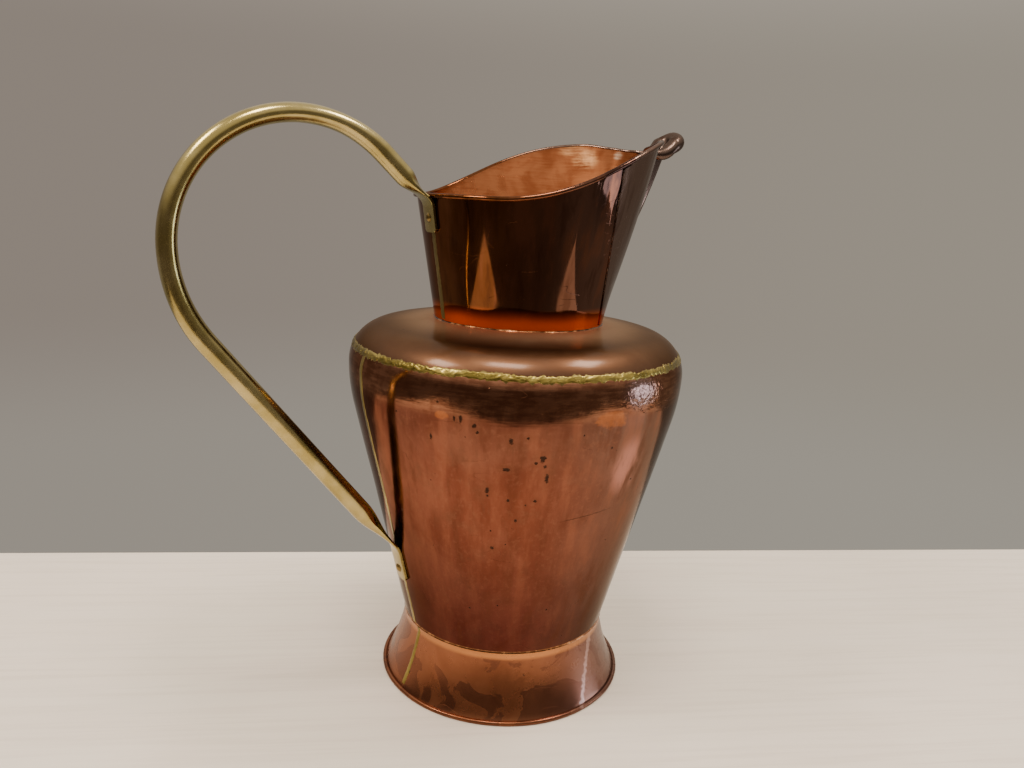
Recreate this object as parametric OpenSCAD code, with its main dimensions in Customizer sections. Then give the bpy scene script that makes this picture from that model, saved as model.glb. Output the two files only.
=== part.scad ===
// An open-topped hot water can: tapered sheet copper body on a flared foot, rounded shoulder,
// wide neck drawn out to a pouring spout, and a looped brass tube handle riveted at both ends.
// The origin is the centre of the foot's resting ring. +X is the spout, -X the handle, +Z up.

/* [Body] */
// Radius of the body where it meets the foot
body_foot_r = 92; // [84:1:100]
// Largest radius of the body
belly_r = 147; // [138:1:152]
// Height at which the body is widest
belly_z = 292; // [284:1:300]
// Radius of the slow swell between the straight taper and the belly
swell_r = 153; // [120:1:180]
// Radius of the corner that turns the body in to the shoulder
corner_r = 34; // [28:1:38]
// Angle up that corner at which body and shoulder are joined
seam_angle = 28; // [20:1:40]
// How far the body reaches down inside the foot
body_tuck = 6; // [4:0.5:9]
// Thickness of the body sheet
body_sheet = 1; // [0.8:0.1:1.4]

/* [Foot] */
// Height of the joint between foot and body
foot_h = 53; // [46:1:60]
// Radius of the foot's rolled edge, measured to its outside
foot_r = 113; // [108:1:120]
// Depth of the hollow curve of the foot's flare
foot_flare = 2; // [0.5:0.1:4]
// Length of the foot's collar round the body
foot_lap = 4; // [3:0.5:5]
// Thickness of the foot sheet
foot_sheet = 0.9; // [0.7:0.1:1.2]
// Thickness of the wire in the foot's rolled edge
foot_wire_d = 2; // [1.5:0.1:2.5]
// Depth worn flat under the foot's rolled edge
foot_wear = 0.3; // [0.2:0.05:0.5]

/* [Floor of the can] */
// Height of the upper face of the floor
floor_z = 58; // [56:0.5:64]
// Thickness of the floor sheet
floor_sheet = 1.2; // [1:0.1:1.6]
// Length of the floor's turned-down edge
floor_flange = 7; // [5:0.5:8]

/* [Neck] */
// Radius of the neck where it stands on the shoulder
neck_foot_r = 74; // [70:1:80]
// Height at which the neck stands on the shoulder
neck_foot_z = 331; // [329:1:335]
// How far the neck reaches down through the shoulder
neck_tuck = 3; // [2:0.5:5]
// Radius of the round part of the mouth
mouth_r = 99; // [94:1:104]
// How far the back of the mouth is shifted toward the spout
mouth_shift = 8; // [5:1:11]
// Length of the straight run between the round back and the round front of the mouth
mouth_run = 8; // [2:1:12]
// Height of the rim at the back
rim_back_z = 435; // [422:1:440]
// Height of the rim at the root of the spout
rim_side_z = 489; // [480:1:492]
// Height of the rim where the spout's channel begins
rim_throat_z = 484; // [479:1:488]
// Height of the rim at the nose of the spout
rim_front_z = 503; // [496:1:512]
// Distance from the back of the mouth to where the rim starts to rise
rim_rise_start = 18; // [12:1:26]
// Thickness of the neck sheet
neck_sheet = 0.9; // [0.7:0.1:1.2]
// Thickness of the wire in the rolled rim
rim_wire_d = 2; // [1.5:0.1:2.5]

/* [Spout] */
// Reach of the spout's sheet at its nose from the middle of the can
spout_reach = 157; // [150:1:166]
// Radius of the spout's nose seen from above
nose_r = 4.5; // [3.5:0.5:7]
// Angle by which each side of the spout's channel leans in toward the nose
nose_lean = 5; // [3:1:9]
// Radius of the hollow curve between the round mouth and the spout's channel
spout_root_r = 24; // [18:1:32]
// Radius of the lip rolled over at the nose
lip_r = 8; // [6:0.5:10]
// Length of rim over which the lip fades into the rolled edge
lip_fade = 34; // [24:1:40]
// Angle round the mouth at which the spout panel laps the neck
panel_angle = 72; // [66:1:78]
// Width of the lap
lap_w = 5; // [4:0.5:6]
// How far the wall's upright lines lean toward the spout
fan_angle = 21; // [16:1:24]
// How far the spout's front swells out between its foot and its lip
spout_swell = 5; // [0:0.5:6]

/* [Handle] */
// Diameter of the brass tube
tube_d = 16; // [14:0.5:18]
// Wall of the brass tube
tube_wall = 1.2; // [1:0.1:1.5]
// Radius of the loop to the middle of the tube
loop_r = 95; // [90:0.5:99]
// Distance from the middle of the can back to the loop's centre
loop_back = 193; // [186:1:200]
// Height of the loop's centre
loop_z = 391; // [384:1:398]
// Radius of the slower bend from the loop to the straight arm
arm_bend_r = 112; // [102:1:130]
// Share by which the tube is squeezed in the plane of its bends
bend_squeeze = 0.12; // [0:0.01:0.2]
// Width of the flattened tabs
tab_w = 18; // [16:0.5:20]
// Length of the upper tab
upper_tab = 20; // [18:1:24]
// Length of the lower tab above its rivet
lower_tab_up = 16; // [13:1:22]
// Length of the lower tab below its rivet
lower_tab_down = 11; // [8:1:14]
// Height of the lower rivet
lower_rivet_z = 115; // [105:1:130]
// Distance from the rim down to the upper rivet
upper_rivet_drop = 19; // [17:0.5:21]
// Length over which the tube closes to the upper tab
upper_taper = 34; // [28:1:40]
// Length over which the tube closes to the lower tab
lower_taper = 70; // [50:1:90]

/* [Rivets] */
// Diameter of a rivet's shank
rivet_d = 4; // [3:0.5:5]
// Diameter of a rivet's head
rivet_head_d = 8; // [7:0.5:9]
// Height of a rivet's head
rivet_head_h = 2; // [1.5:0.1:2.5]

/* [Brass and solder] */
// Width of the brass line round the shoulder
shoulder_braze_w = 6; // [4:0.5:8]
// Height to which that brass line stands proud
shoulder_braze_t = 0.6; // [0.4:0.1:1]
// Width of the upright brass lines
seam_braze_w = 5; // [3:0.5:6]
// Height to which the upright brass lines stand proud
seam_braze_t = 0.4; // [0.3:0.1:0.6]
// Angle of the foot's seam round from the handle
foot_seam_turn = 5; // [0:1:20]
// Size of the solder fillets at the neck, the foot and the laps
fillet = 1.6; // [1:0.1:2]

/* [Hidden] */
$fn = 96;

copper = [0.72, 0.38, 0.26];
dark_copper = [0.55, 0.27, 0.18];
brass = [0.74, 0.66, 0.36];
solder = [0.8, 0.6, 0.42];
steel = [0.45, 0.43, 0.4];

// Clearance round a wire in its roll and round a rivet in its hole
fit = 0.1;
// Gap that keeps curved neighbours from overlapping, and the wider one under a lap's solder and
// under a rivet's inner head
seat = 0.05;
lap_seat = 0.15;
head_seat = 0.2;
// Margin by which a cutter passes what it cuts
past = 1;
// Least angle between two stations of the neck
angle_gap = 0.3;

function along(a) = [cos(a), sin(a)];
function clamp(x, low, high) = max(low, min(high, x));
function smooth(x) = let (t = clamp(x, 0, 1)) t * t * (3 - 2 * t);
function mix(a, b, t) = a + (b - a) * t;

// Direction from a circle's centre to the point where a line from p touches it
function tangent_angle(c, r, p, side) = atan2(p[1] - c[1], p[0] - c[0]) + side * acos(r / norm(p - c));

// Body outline: a straight taper, a slow swell and a tight corner, all tangent
swell_c = [belly_r - swell_r, belly_z];
corner_c = [belly_r - corner_r, belly_z];
foot_joint = [body_foot_r, foot_h];
neck_foot = [neck_foot_r, neck_foot_z];
taper_a = tangent_angle(swell_c, swell_r, foot_joint, 1);
crown_a = tangent_angle(corner_c, corner_r, neck_foot, -1);
taper_up = [-sin(taper_a), cos(taper_a)];
arc_steps = 8;

function arc(c, r, a0, a1) = [for (k = [0:arc_steps]) c + r * along(mix(a0, a1, k / arc_steps))];
function taper_point(up, inset) = foot_joint + up * taper_up - inset * along(taper_a);
function taper_r(z, inset) =
    let (base = taper_point(0, inset)) base[0] + (z - base[1]) * taper_up[0] / taper_up[1];
function body_side(inset, start) = concat(
    [taper_point(start, inset)],
    arc(swell_c, swell_r - inset, taper_a, 0),
    arc(corner_c, corner_r - inset, 0, seam_angle));
function crown_side(inset) = concat(
    arc(corner_c, corner_r - inset, seam_angle, crown_a),
    [neck_foot - inset * along(crown_a)]);
function reversed(list) = [for (k = [len(list) - 1:-1:0]) list[k]];
function without_first(list) = [for (k = [1:len(list) - 1]) list[k]];
function without_last(list) = [for (k = [0:len(list) - 2]) list[k]];
function sheet_outline(outer, inner) = concat(outer, reversed(inner));

module body_outline() {
    polygon(sheet_outline(body_side(0, -body_tuck), body_side(body_sheet, -body_tuck)));
}

module shoulder_outline() {
    polygon(sheet_outline(crown_side(0), crown_side(body_sheet)));
}

module body_wall() {
    color(copper) difference() {
        rotate_extrude() body_outline();
        lower_rivet_place() rivet_hole();
    }
}

module shoulder_dome() {
    color(copper) rotate_extrude() difference() {
        shoulder_outline();
        translate([0, neck_foot_z - neck_tuck - past])
            square([neck_foot_r + seat, neck_tuck + 2 * past]);
    }
}

// The floor's edge turns down along the inside of the taper
module bottom_disc() {
    flange_end = floor_z - floor_flange;
    color(dark_copper) rotate_extrude() polygon([
        [0, floor_z - floor_sheet],
        [taper_r(floor_z - floor_sheet, body_sheet + floor_sheet), floor_z - floor_sheet],
        [taper_r(flange_end, body_sheet + floor_sheet), flange_end],
        [taper_r(flange_end, body_sheet), flange_end],
        [taper_r(floor_z, body_sheet), floor_z],
        [0, floor_z]]);
}

module bottom_solder() {
    flange_end = floor_z - floor_flange;
    color(solder) rotate_extrude() polygon([
        [taper_r(flange_end, body_sheet + floor_sheet), flange_end],
        [taper_r(flange_end - fillet, body_sheet), flange_end - fillet],
        [taper_r(flange_end, body_sheet), flange_end]]);
}

// Foot: a hollow curve from the rolled edge up to a collar that laps the body
foot_roll_r = foot_wire_d / 2 + fit + foot_sheet;
foot_roll_c = [foot_r - foot_roll_r, foot_roll_r - foot_wear];
foot_edge = foot_roll_c - [foot_roll_r - foot_sheet, 0];
foot_top = taper_point(foot_lap, -foot_sheet);
foot_neck = taper_point(0, -foot_sheet);
flare_steps = 10;

function flare_point(t) =
    let (line = foot_neck - foot_edge, side = [-line[1], line[0]] / norm(line))
    foot_edge + line * t + side * foot_flare * 4 * t * (1 - t);
function flare(inset) = [for (k = [0:flare_steps]) flare_point(k / flare_steps) - [inset, 0]];

module foot_outline() {
    polygon(concat(flare(0), [foot_top, taper_point(foot_lap, 0), taper_point(0, 0)],
                   reversed(flare(foot_sheet))));
    translate(foot_roll_c) difference() {
        circle(foot_roll_r, $fn = 32);
        circle(foot_roll_r - foot_sheet, $fn = 32);
    }
}

module foot_skirt() {
    color(copper) rotate_extrude() difference() {
        foot_outline();
        translate([foot_roll_c[0] - foot_r, -foot_r]) square([2 * foot_r, foot_r]);
    }
}

module foot_wire() {
    color(steel) rotate_extrude() translate(foot_roll_c) circle(d = foot_wire_d, $fn = 32);
}

module foot_joint_solder() {
    color(solder) rotate_extrude() polygon([
        foot_top,
        taper_point(foot_lap + fillet, 0),
        taper_point(foot_lap, 0)]);
}

module shoulder_seam_braze() {
    half = shoulder_braze_w / 2 / corner_r * 180 / PI;
    color(brass) rotate_extrude() difference() {
        polygon(concat(
            arc(corner_c, corner_r - body_sheet / 2, seam_angle - half, seam_angle + half),
            [for (k = [arc_steps:-1:0]) corner_c
                + (corner_r + shoulder_braze_t * sin(180 * k / arc_steps))
                * along(seam_angle + half * (2 * k / arc_steps - 1))]));
        body_outline();
        shoulder_outline();
    }
}

// An upright strip of brass on a turned wall, turned round from the handle
module upright_braze(outline, radius, turn) {
    spread = seam_braze_w / radius * 180 / PI;
    rotate([0, 0, 180 + turn - spread / 2]) rotate_extrude(angle = spread) polygon(outline);
}

module body_seam_braze() {
    top = seam_angle - shoulder_braze_w / corner_r * 90 / PI - past;
    function side(inset) = concat(
        [taper_point(foot_lap + fillet, inset)],
        arc(swell_c, swell_r - inset, taper_a, 0),
        arc(corner_c, corner_r - inset, 0, top));
    color(brass) difference() {
        upright_braze(sheet_outline(side(-seam_braze_t), side(0)), body_foot_r, 0);
        lower_rivet_place() rivet_hole();
    }
}

module foot_seam_braze() {
    function side(inset) = concat(
        [for (k = [1:flare_steps]) flare_point(k / flare_steps) - [inset, 0]],
        [taper_point(foot_lap, inset - foot_sheet)]);
    color(brass) upright_braze(sheet_outline(side(-seam_braze_t), side(0)), foot_r, foot_seam_turn);
}

// Neck: straight lines rise from a round base to the rim. Seen from above the rim is a round
// mouth that runs through a hollow curve into a narrow channel with a round nose.
back_c = [mouth_shift, 0];
front_c = [mouth_shift + mouth_run, 0];
nose_c = [spout_reach - nose_r, 0];
channel_a = 90 - nose_lean;
channel_out = along(channel_a);
channel_back = along(channel_a + 90);
root_from = nose_c + (nose_r + spout_root_r) * channel_out;
root_step = (front_c - root_from) * channel_back
    - sqrt(pow((front_c - root_from) * channel_back, 2)
           - (front_c - root_from) * (front_c - root_from) + pow(mouth_r + spout_root_r, 2));
root_c = root_from + root_step * channel_back;
root_a = atan2(root_c[1], root_c[0] - front_c[0]);
channel_from = nose_c + nose_r * channel_out;
channel_to = root_c - spout_root_r * channel_out;
mouth_back = mouth_r - mouth_shift;
mouth_front = front_c[0] + mouth_r;
rim_roll_r = rim_wire_d / 2 + fit + neck_sheet;

// Stations along half the rim, nose first: place in plan and outward direction
nose_steps = 5;
channel_steps = 4;
root_steps = 6;
front_steps = 12;
back_steps = 15;
function mouth_station(c, a) = [c + mouth_r * along(a), along(a)];
half_rim = concat(
    [for (k = [0:nose_steps]) let (a = channel_a * k / nose_steps)
        [nose_c + nose_r * along(a), along(a)]],
    [for (k = [1:channel_steps]) [mix(channel_from, channel_to, k / channel_steps), channel_out]],
    [for (k = [1:root_steps]) let (a = mix(channel_a, root_a, k / root_steps))
        [root_c - spout_root_r * along(a), along(a)]],
    [for (k = [1:front_steps]) mouth_station(front_c, mix(root_a, 90, k / front_steps))],
    [for (k = [0:back_steps]) mouth_station(back_c, mix(90, 180, k / back_steps))]);

// The rim is low at the back, climbs along the sides, dips where the channel begins and rises
// again to the nose
throat_x = root_c[0] - spout_root_r * cos((channel_a + root_a) / 2);
dip_run = 20;
function rim_z(x) =
    mix(rim_back_z, rim_side_z,
        smooth((x + mouth_back - rim_rise_start) / (mouth_back + mouth_front - rim_rise_start)))
    - (rim_side_z - rim_throat_z) * smooth((x - throat_x + dip_run) / dip_run)
    + (rim_front_z - rim_throat_z) * clamp((x - throat_x) / (spout_reach - throat_x), 0, 1);
function station_angle(s) = atan2(s[0][1], s[0][0]);
function base_angle(a) = a - fan_angle * sin(a);
// Radius of the edge roll at a station: the wired roll, growing to the lip at the nose
function roll_r(s) = mix(lip_r, rim_roll_r, smooth(norm(s[0] - [spout_reach, 0]) / lip_fade));
function flipped(s) = [[s[0][0], -s[0][1]], [s[1][0], -s[1][1]]];

// The station at any angle on the +Y side, on the chord between its two neighbours
function station_at(a) =
    let (before = [for (s = half_rim) if (station_angle(s) <= a) s],
         after = [for (s = half_rim) if (station_angle(s) > a) s],
         s0 = before[len(before) - 1], s1 = after[0],
         t = (a - station_angle(s0)) / (station_angle(s1) - station_angle(s0)),
         n = mix(s0[1], s1[1], t))
    [mix(s0[0], s1[0], t), n / norm(n)];
// Stations between two angles on the +Y side, leaving out those too close to either
function between(a0, a1) =
    [for (s = half_rim) if (station_angle(s) > a0 + angle_gap && station_angle(s) < a1 - angle_gap) s];

// A point of the wall's outer face, in steps out from it: s is a station, z a height
function roll_z(s) = rim_z(s[0][0]) - roll_r(s);
function wall_base(s, out) = (neck_foot_r + out) * along(base_angle(station_angle(s)));
function swell(s, t) = spout_swell * 4 * t * (1 - t) * smooth(1 - abs(station_angle(s)) / lap_root_a);
function wall_point(s, z, out) =
    let (t = clamp((z - neck_foot_z) / (roll_z(s) - neck_foot_z), 0, 1),
         p = mix(wall_base(s, out), s[0] + out * s[1], t) + swell(s, t) * s[1])
    [p[0], p[1], z];
function roll_point(s, r, a) =
    let (p = s[0] + s[1] * (roll_r(s) - neck_sheet - r * cos(a)))
    [p[0], p[1], roll_z(s) + r * sin(a)];

// The sheet's section at a station, seen as a closed ring of points: up the inside, over the
// roll, back inside the roll and down the outside. shift moves the whole sheet outward.
roll_turn = 290;
roll_steps = 10;
wall_levels = 4;
function wall_column(s, z0, z1, out) =
    [for (k = [0:wall_levels]) wall_point(s, mix(z0, z1, k / wall_levels), out)];
function sheet_section(s, foot_z) = concat(
    [wall_point(s, foot_z, -neck_sheet)],
    without_last(wall_column(s, neck_foot_z, roll_z(s), -neck_sheet)),
    [for (k = [0:roll_steps]) roll_point(s, roll_r(s), roll_turn * k / roll_steps)],
    [for (k = [roll_steps:-1:0]) roll_point(s, roll_r(s) - neck_sheet, roll_turn * k / roll_steps)],
    reversed(without_last(wall_column(s, neck_foot_z, roll_z(s), 0))),
    [wall_point(s, foot_z, 0)]);

// A solid through a row of equal closed sections. Strip caps suit a section that runs out along
// one face of a sheet and back along the other.
module skin(rows, closed = false, strip_caps = false) {
    n = len(rows[0]);
    m = len(rows);
    last = (m - 1) * n;
    sides = [for (i = [0:closed ? m - 1 : m - 2], j = [0:n - 1])
        let (a = i * n + j, b = i * n + (j + 1) % n,
             c = (i + 1) % m * n + j, d = (i + 1) % m * n + (j + 1) % n)
        each [[a, c, b], [b, c, d]]];
    strips = [for (j = [0:n / 2 - 2])
        each [[j, j + 1, n - 1 - j], [j + 1, n - 2 - j, n - 1 - j],
              [last + n - 1 - j, last + j + 1, last + j],
              [last + n - 1 - j, last + n - 2 - j, last + j + 1]]];
    rings = [[for (j = [0:n - 1]) j], [for (j = [n - 1:-1:0]) last + j]];
    polyhedron([for (row = rows) each row],
               concat(sides, closed ? [] : strip_caps ? strips : rings), convexity = 10);
}

function flipped_back(list) = [for (k = [len(list) - 1:-1:0]) flipped(list[k])];

edge_station = station_at(panel_angle);
panel_half = concat([half_rim[0]], between(0, panel_angle), [edge_station]);
back_half = concat([edge_station], between(panel_angle, 180), [half_rim[len(half_rim) - 1]]);
panel_stations = concat(flipped_back(panel_half), without_first(panel_half));
back_stations = concat(back_half, without_first(flipped_back(back_half)));
all_stations = concat(panel_stations, without_first(without_last(back_stations)));
neck_low = neck_foot_z - neck_tuck;

module neck_wall() {
    color(copper) difference() {
        skin([for (s = back_stations) sheet_section(s, neck_low)], strip_caps = true);
        upper_rivet_place() rivet_hole();
    }
}

// The lap is a strip of the spout panel that lies on the outside of the neck sheet
lap_end_a = panel_angle + lap_w / mouth_r * 180 / PI;
lap_root_a = panel_angle - lap_w / mouth_r * 90 / PI;
lap_low = neck_foot_z + fillet + seat;
function lap_top(s) = roll_z(s) - roll_r(s) - seat;

module lap_strip() {
    stations = concat([station_at(lap_root_a), station_at(panel_angle - angle_gap), edge_station],
                      between(panel_angle, lap_end_a), [station_at(lap_end_a)]);
    skin([for (s = stations)
        let (lift = station_angle(s) < panel_angle - angle_gap / 2 ? -neck_sheet / 2 : seat)
        concat(wall_column(s, lap_low, lap_top(s), lift),
               reversed(wall_column(s, lap_low, lap_top(s), seat + neck_sheet)))],
        strip_caps = true);
}

module spout_panel() {
    color(dark_copper) {
        skin([for (s = panel_stations) sheet_section(s, neck_low)], strip_caps = true);
        lap_strip();
        mirror([0, 1, 0]) lap_strip();
    }
}

// A thin fillet of solder along the lap's edge
module lap_solder() {
    s0 = station_at(lap_end_a + angle_gap);
    s1 = station_at(lap_end_a + neck_sheet / mouth_r * 180 / PI + angle_gap);
    color(solder) skin([for (k = [0:wall_levels]) let (t = k / wall_levels) [
        wall_point(s0, mix(lap_low, lap_top(s0), t), lap_seat),
        wall_point(s0, mix(lap_low, lap_top(s0), t), seat + neck_sheet),
        wall_point(s1, mix(lap_low, lap_top(s1), t), lap_seat)]]);
}

module spout_solder_left() { lap_solder(); }

module spout_solder_right() { mirror([0, 1, 0]) lap_solder(); }

wire_sides = 8;
function wire_section(s) =
    let (inner_r = roll_r(s) - neck_sheet,
         mid_z = roll_z(s) + inner_r * cos(roll_turn / roll_steps / 2) - fit - rim_wire_d / 2)
    [for (k = [0:wire_sides - 1]) let (a = -360 * k / wire_sides,
         p = s[0] + s[1] * (inner_r + rim_wire_d / 2 * cos(a)))
        [p[0], p[1], mid_z + rim_wire_d / 2 * sin(a)]];

module rim_wire() {
    color(steel) skin([for (s = all_stations) wire_section(s)], closed = true);
}

module neck_base_solder() {
    drop = fillet / tan(crown_a);
    function section(s) =
        let (p0 = wall_base(s, seat), p1 = wall_point(s, neck_foot_z + fillet, seat),
             p2 = wall_base(s, fillet))
        [[p0[0], p0[1], neck_foot_z + seat], p1, [p2[0], p2[1], neck_foot_z + seat - drop]];
    color(solder) skin([for (s = all_stations) section(s)], closed = true);
}

module neck_seam_braze() {
    spread = seam_braze_w / mouth_r * 90 / PI;
    mid = half_rim[len(half_rim) - 1];
    side = station_at(180 - spread);
    function section(s) = concat(
        wall_column(s, lap_low, lap_top(s), seat),
        reversed(wall_column(s, lap_low, lap_top(s), seam_braze_t)));
    color(brass) difference() {
        skin([for (s = [side, mid, flipped(side)]) section(s)], strip_caps = true);
        upper_rivet_place() rivet_hole();
    }
}

// Handle: the tube's middle line lies in the plane of the spout. It runs up the neck, over the
// loop and down the straight arm to the body. Angles are those of its direction of travel.
tab_t = 2 * tube_wall;
tab_lift = seam_braze_t + seat + tab_t / 2;
upper_fold_r = 12;
lower_fold_r = 20;
// Distance below the rim's roll at which the upper tab folds out
upper_fold_drop = 7;

back_station = half_rim[len(half_rim) - 1];
function neck_back_x(z) = wall_point(back_station, z, 0)[0];
upper_tab_a = atan2(upper_tab, neck_back_x(neck_foot_z + upper_tab) - neck_back_x(neck_foot_z));
upper_tab_top = [neck_back_x(rim_back_z - 2 * rim_roll_r), rim_back_z - 2 * rim_roll_r]
    + along(upper_tab_a + 90) * tab_lift - along(upper_tab_a) * upper_fold_drop;
upper_fold_c = upper_tab_top + upper_fold_r * along(upper_tab_a + 90);
loop_c = [-loop_back, loop_z];
climb_a = 360 + atan2(loop_c[1] - upper_fold_c[1], loop_c[0] - upper_fold_c[0])
    - asin((loop_r - upper_fold_r) / norm(loop_c - upper_fold_c));

arm_c = loop_c + [arm_bend_r - loop_r, 0];
lower_tab_a = 270 - taper_a;
lower_rivet_up = (lower_rivet_z - foot_h) / taper_up[1];
function back_of(p) = [-p[0], p[1]];
lower_tab_top = back_of(taper_point(lower_rivet_up + lower_tab_up, -tab_lift));
lower_fold_c = lower_tab_top - lower_fold_r * along(lower_tab_a + 90);
arm_a = atan2(lower_fold_c[1] - arm_c[1], lower_fold_c[0] - arm_c[0]) + 360
    + asin((arm_bend_r + lower_fold_r) / norm(lower_fold_c - arm_c));

// Path points: [x, z, direction, squeeze]. A left turn has its centre on the left of the
// travel. The squeeze is 1 where the tube is fully bent and 0 where it is straight.
fold_steps = 4;
climb_steps = 8;
loop_steps = 24;
bend_steps = 6;
arm_steps = 20;
function left_arc(c, r, a0, a1, n, s0 = 0, s1 = 0) =
    [for (k = [0:n]) let (a = mix(a0, a1, k / n), p = c + r * along(a - 90))
        [p[0], p[1], a, mix(s0, s1, smooth(k / min(n, bend_steps)))]];
function right_arc(c, r, a0, a1, n) =
    [for (k = [0:n]) let (a = mix(a0, a1, k / n), p = c + r * along(a + 90)) [p[0], p[1], a, 0]];
function line(p, a, length, n) =
    [for (k = [0:n]) let (q = p + along(a) * length * k / n) [q[0], q[1], a, 0]];
function last_of(list) = list[len(list) - 1];
function spot(q) = [q[0], q[1]];

tab_start = upper_tab_top - upper_tab * along(upper_tab_a);
upper_fold = left_arc(upper_fold_c, upper_fold_r, upper_tab_a, climb_a, fold_steps);
loop_arc = left_arc(loop_c, loop_r, climb_a, 270, loop_steps, 0, 1);
climb = line(spot(last_of(upper_fold)), climb_a,
             norm(spot(loop_arc[0]) - spot(last_of(upper_fold))), climb_steps);
arm_bend = left_arc(arm_c, arm_bend_r, 270, arm_a, bend_steps, 1, 0);
lower_fold = right_arc(lower_fold_c, lower_fold_r, arm_a, lower_tab_a, fold_steps);
arm = line(spot(last_of(arm_bend)), arm_a,
           norm(spot(lower_fold[0]) - spot(last_of(arm_bend))), arm_steps);
handle_path = concat(
    line(tab_start, upper_tab_a, upper_tab, 1),
    without_first(upper_fold), without_first(climb), without_first(loop_arc),
    without_first(arm_bend), without_first(arm), without_first(lower_fold),
    without_first(line(lower_tab_top, lower_tab_a, lower_tab_up + lower_tab_down, 1)));

// How far the tube is flattened: 0 is round, 1 is a flat tab
function flat_up(q) =
    q[2] < climb_a + 90 ? 1 - smooth(norm(spot(q) - spot(climb[0])) / upper_taper) : 0;
function flat_low(q) =
    q[2] > lower_tab_a && norm(spot(q) - spot(lower_fold[0])) < lower_taper
        ? 1 - smooth(norm(spot(q) - spot(lower_fold[0])) / lower_taper) : 0;
tab_points = fold_steps + 2;
function tube_flat(k) =
    k < tab_points || k >= len(handle_path) - tab_points
        ? 1 : max(flat_up(handle_path[k]), flat_low(handle_path[k]));

tube_sides = 16;
// How sharply the closed tube's edges and faces square up, and how far its ridge draws in
edge_spread = 1.3;
face_spread = 1.5;
ridge_share = 2.4;
// Share of flattening at which the tube's bore ends
bore_end = 0.4;
// Section of the tube inside an outline inset by the wall. The side away from the can stays
// flat and wide while the side toward the can narrows to a ridge as the tube closes.
function tube_section(k, inset) =
    let (q = handle_path[k], f = tube_flat(k),
         upper = k < len(handle_path) / 2, away = upper ? 1 : -1,
         wall_r = upper ? mouth_back : body_foot_r, ridge = ridge_share * f * (1 - f),
         normal = along(q[2] + 90))
    [for (j = [0:tube_sides - 1]) let (
         a = -360 * j / tube_sides,
         u = cos(a), v = sin(a),
         deep_r = tube_d / 2 * (1 - bend_squeeze * q[3]) - inset,
         wide_r = tube_d / 2 * (1 + bend_squeeze * q[3]) - inset,
         y0 = mix(wide_r * v, (tab_w / 2 - inset) * clamp(v * edge_spread, -1, 1), f),
         y = y0 * (1 - ridge * clamp(-away * u * face_spread, 0, 1)),
         n = mix(deep_r * u, (tab_t / 2 - inset) * clamp(u * face_spread, -1, 1), f)
             - away * f * y * y / (2 * wall_r))
        [q[0] + normal[0] * n, y, q[1] + normal[1] * n]];

module handle_tube() {
    open = [for (k = [0:len(handle_path) - 1]) if (tube_flat(k) < bore_end) k];
    color(brass) difference() {
        skin([for (k = [0:len(handle_path) - 1]) tube_section(k, 0)]);
        skin([for (k = open) tube_section(k, tube_wall)]);
        upper_rivet_place() rivet_hole();
        lower_rivet_place() rivet_hole();
    }
}

// Rivets: their own +Z points out of the wall, and their origin is on the wall's outer face
upper_rivet_z = rim_back_z - upper_rivet_drop;

module upper_rivet_place() {
    translate([neck_back_x(upper_rivet_z), 0, upper_rivet_z])
        rotate([0, 90 - (upper_tab_a + 90), 0]) children();
}

module lower_rivet_place() {
    p = back_of(taper_point(lower_rivet_up, 0));
    translate([p[0], 0, p[1]]) rotate([0, 90 - (lower_tab_a - 90), 0]) children();
}

module rivet_hole() {
    reach = 4 * tab_t;
    translate([0, 0, -reach]) cylinder(d = rivet_d + 2 * fit, h = 2 * reach, $fn = 32);
}

module rivet_head() {
    ball_r = (rivet_head_h * rivet_head_h + rivet_head_d * rivet_head_d / 4) / (2 * rivet_head_h);
    intersection() {
        translate([0, 0, rivet_head_h - ball_r]) sphere(ball_r, $fn = 48);
        cylinder(d = rivet_head_d + past, h = rivet_head_h + past, $fn = 48);
    }
}

module rivet(sheet, wall_r) {
    outer = tab_lift + tab_t / 2;
    inner = -sheet - head_seat - rivet_head_d * rivet_head_d / 8 / wall_r;
    color(brass) {
        translate([0, 0, inner]) cylinder(d = rivet_d, h = outer - inner, $fn = 32);
        translate([0, 0, outer]) rivet_head();
        translate([0, 0, inner]) mirror([0, 0, 1]) rivet_head();
    }
}

module upper_rivet() { upper_rivet_place() rivet(neck_sheet, mouth_back); }

module lower_rivet() { lower_rivet_place() rivet(body_sheet, body_foot_r); }

body_wall();
shoulder_dome();
bottom_disc();
foot_skirt();
foot_wire();
neck_wall();
spout_panel();
rim_wire();
shoulder_seam_braze();
body_seam_braze();
neck_seam_braze();
foot_seam_braze();
neck_base_solder();
foot_joint_solder();
bottom_solder();
spout_solder_left();
spout_solder_right();
handle_tube();
upper_rivet();
lower_rivet();
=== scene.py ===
"""Looks of an open-topped copper hot water can with a looped brass handle.

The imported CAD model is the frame. The sheets, the handle, the brass seams, the solder at the neck
and the foot and the rim's wire are modelled again here with more detail, in place. The floor, the
rivets, the foot's wire and the other solders keep their CAD shape. Lengths are metres.
"""
import math

import bpy
from mathutils import Matrix, Vector, noise


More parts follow.
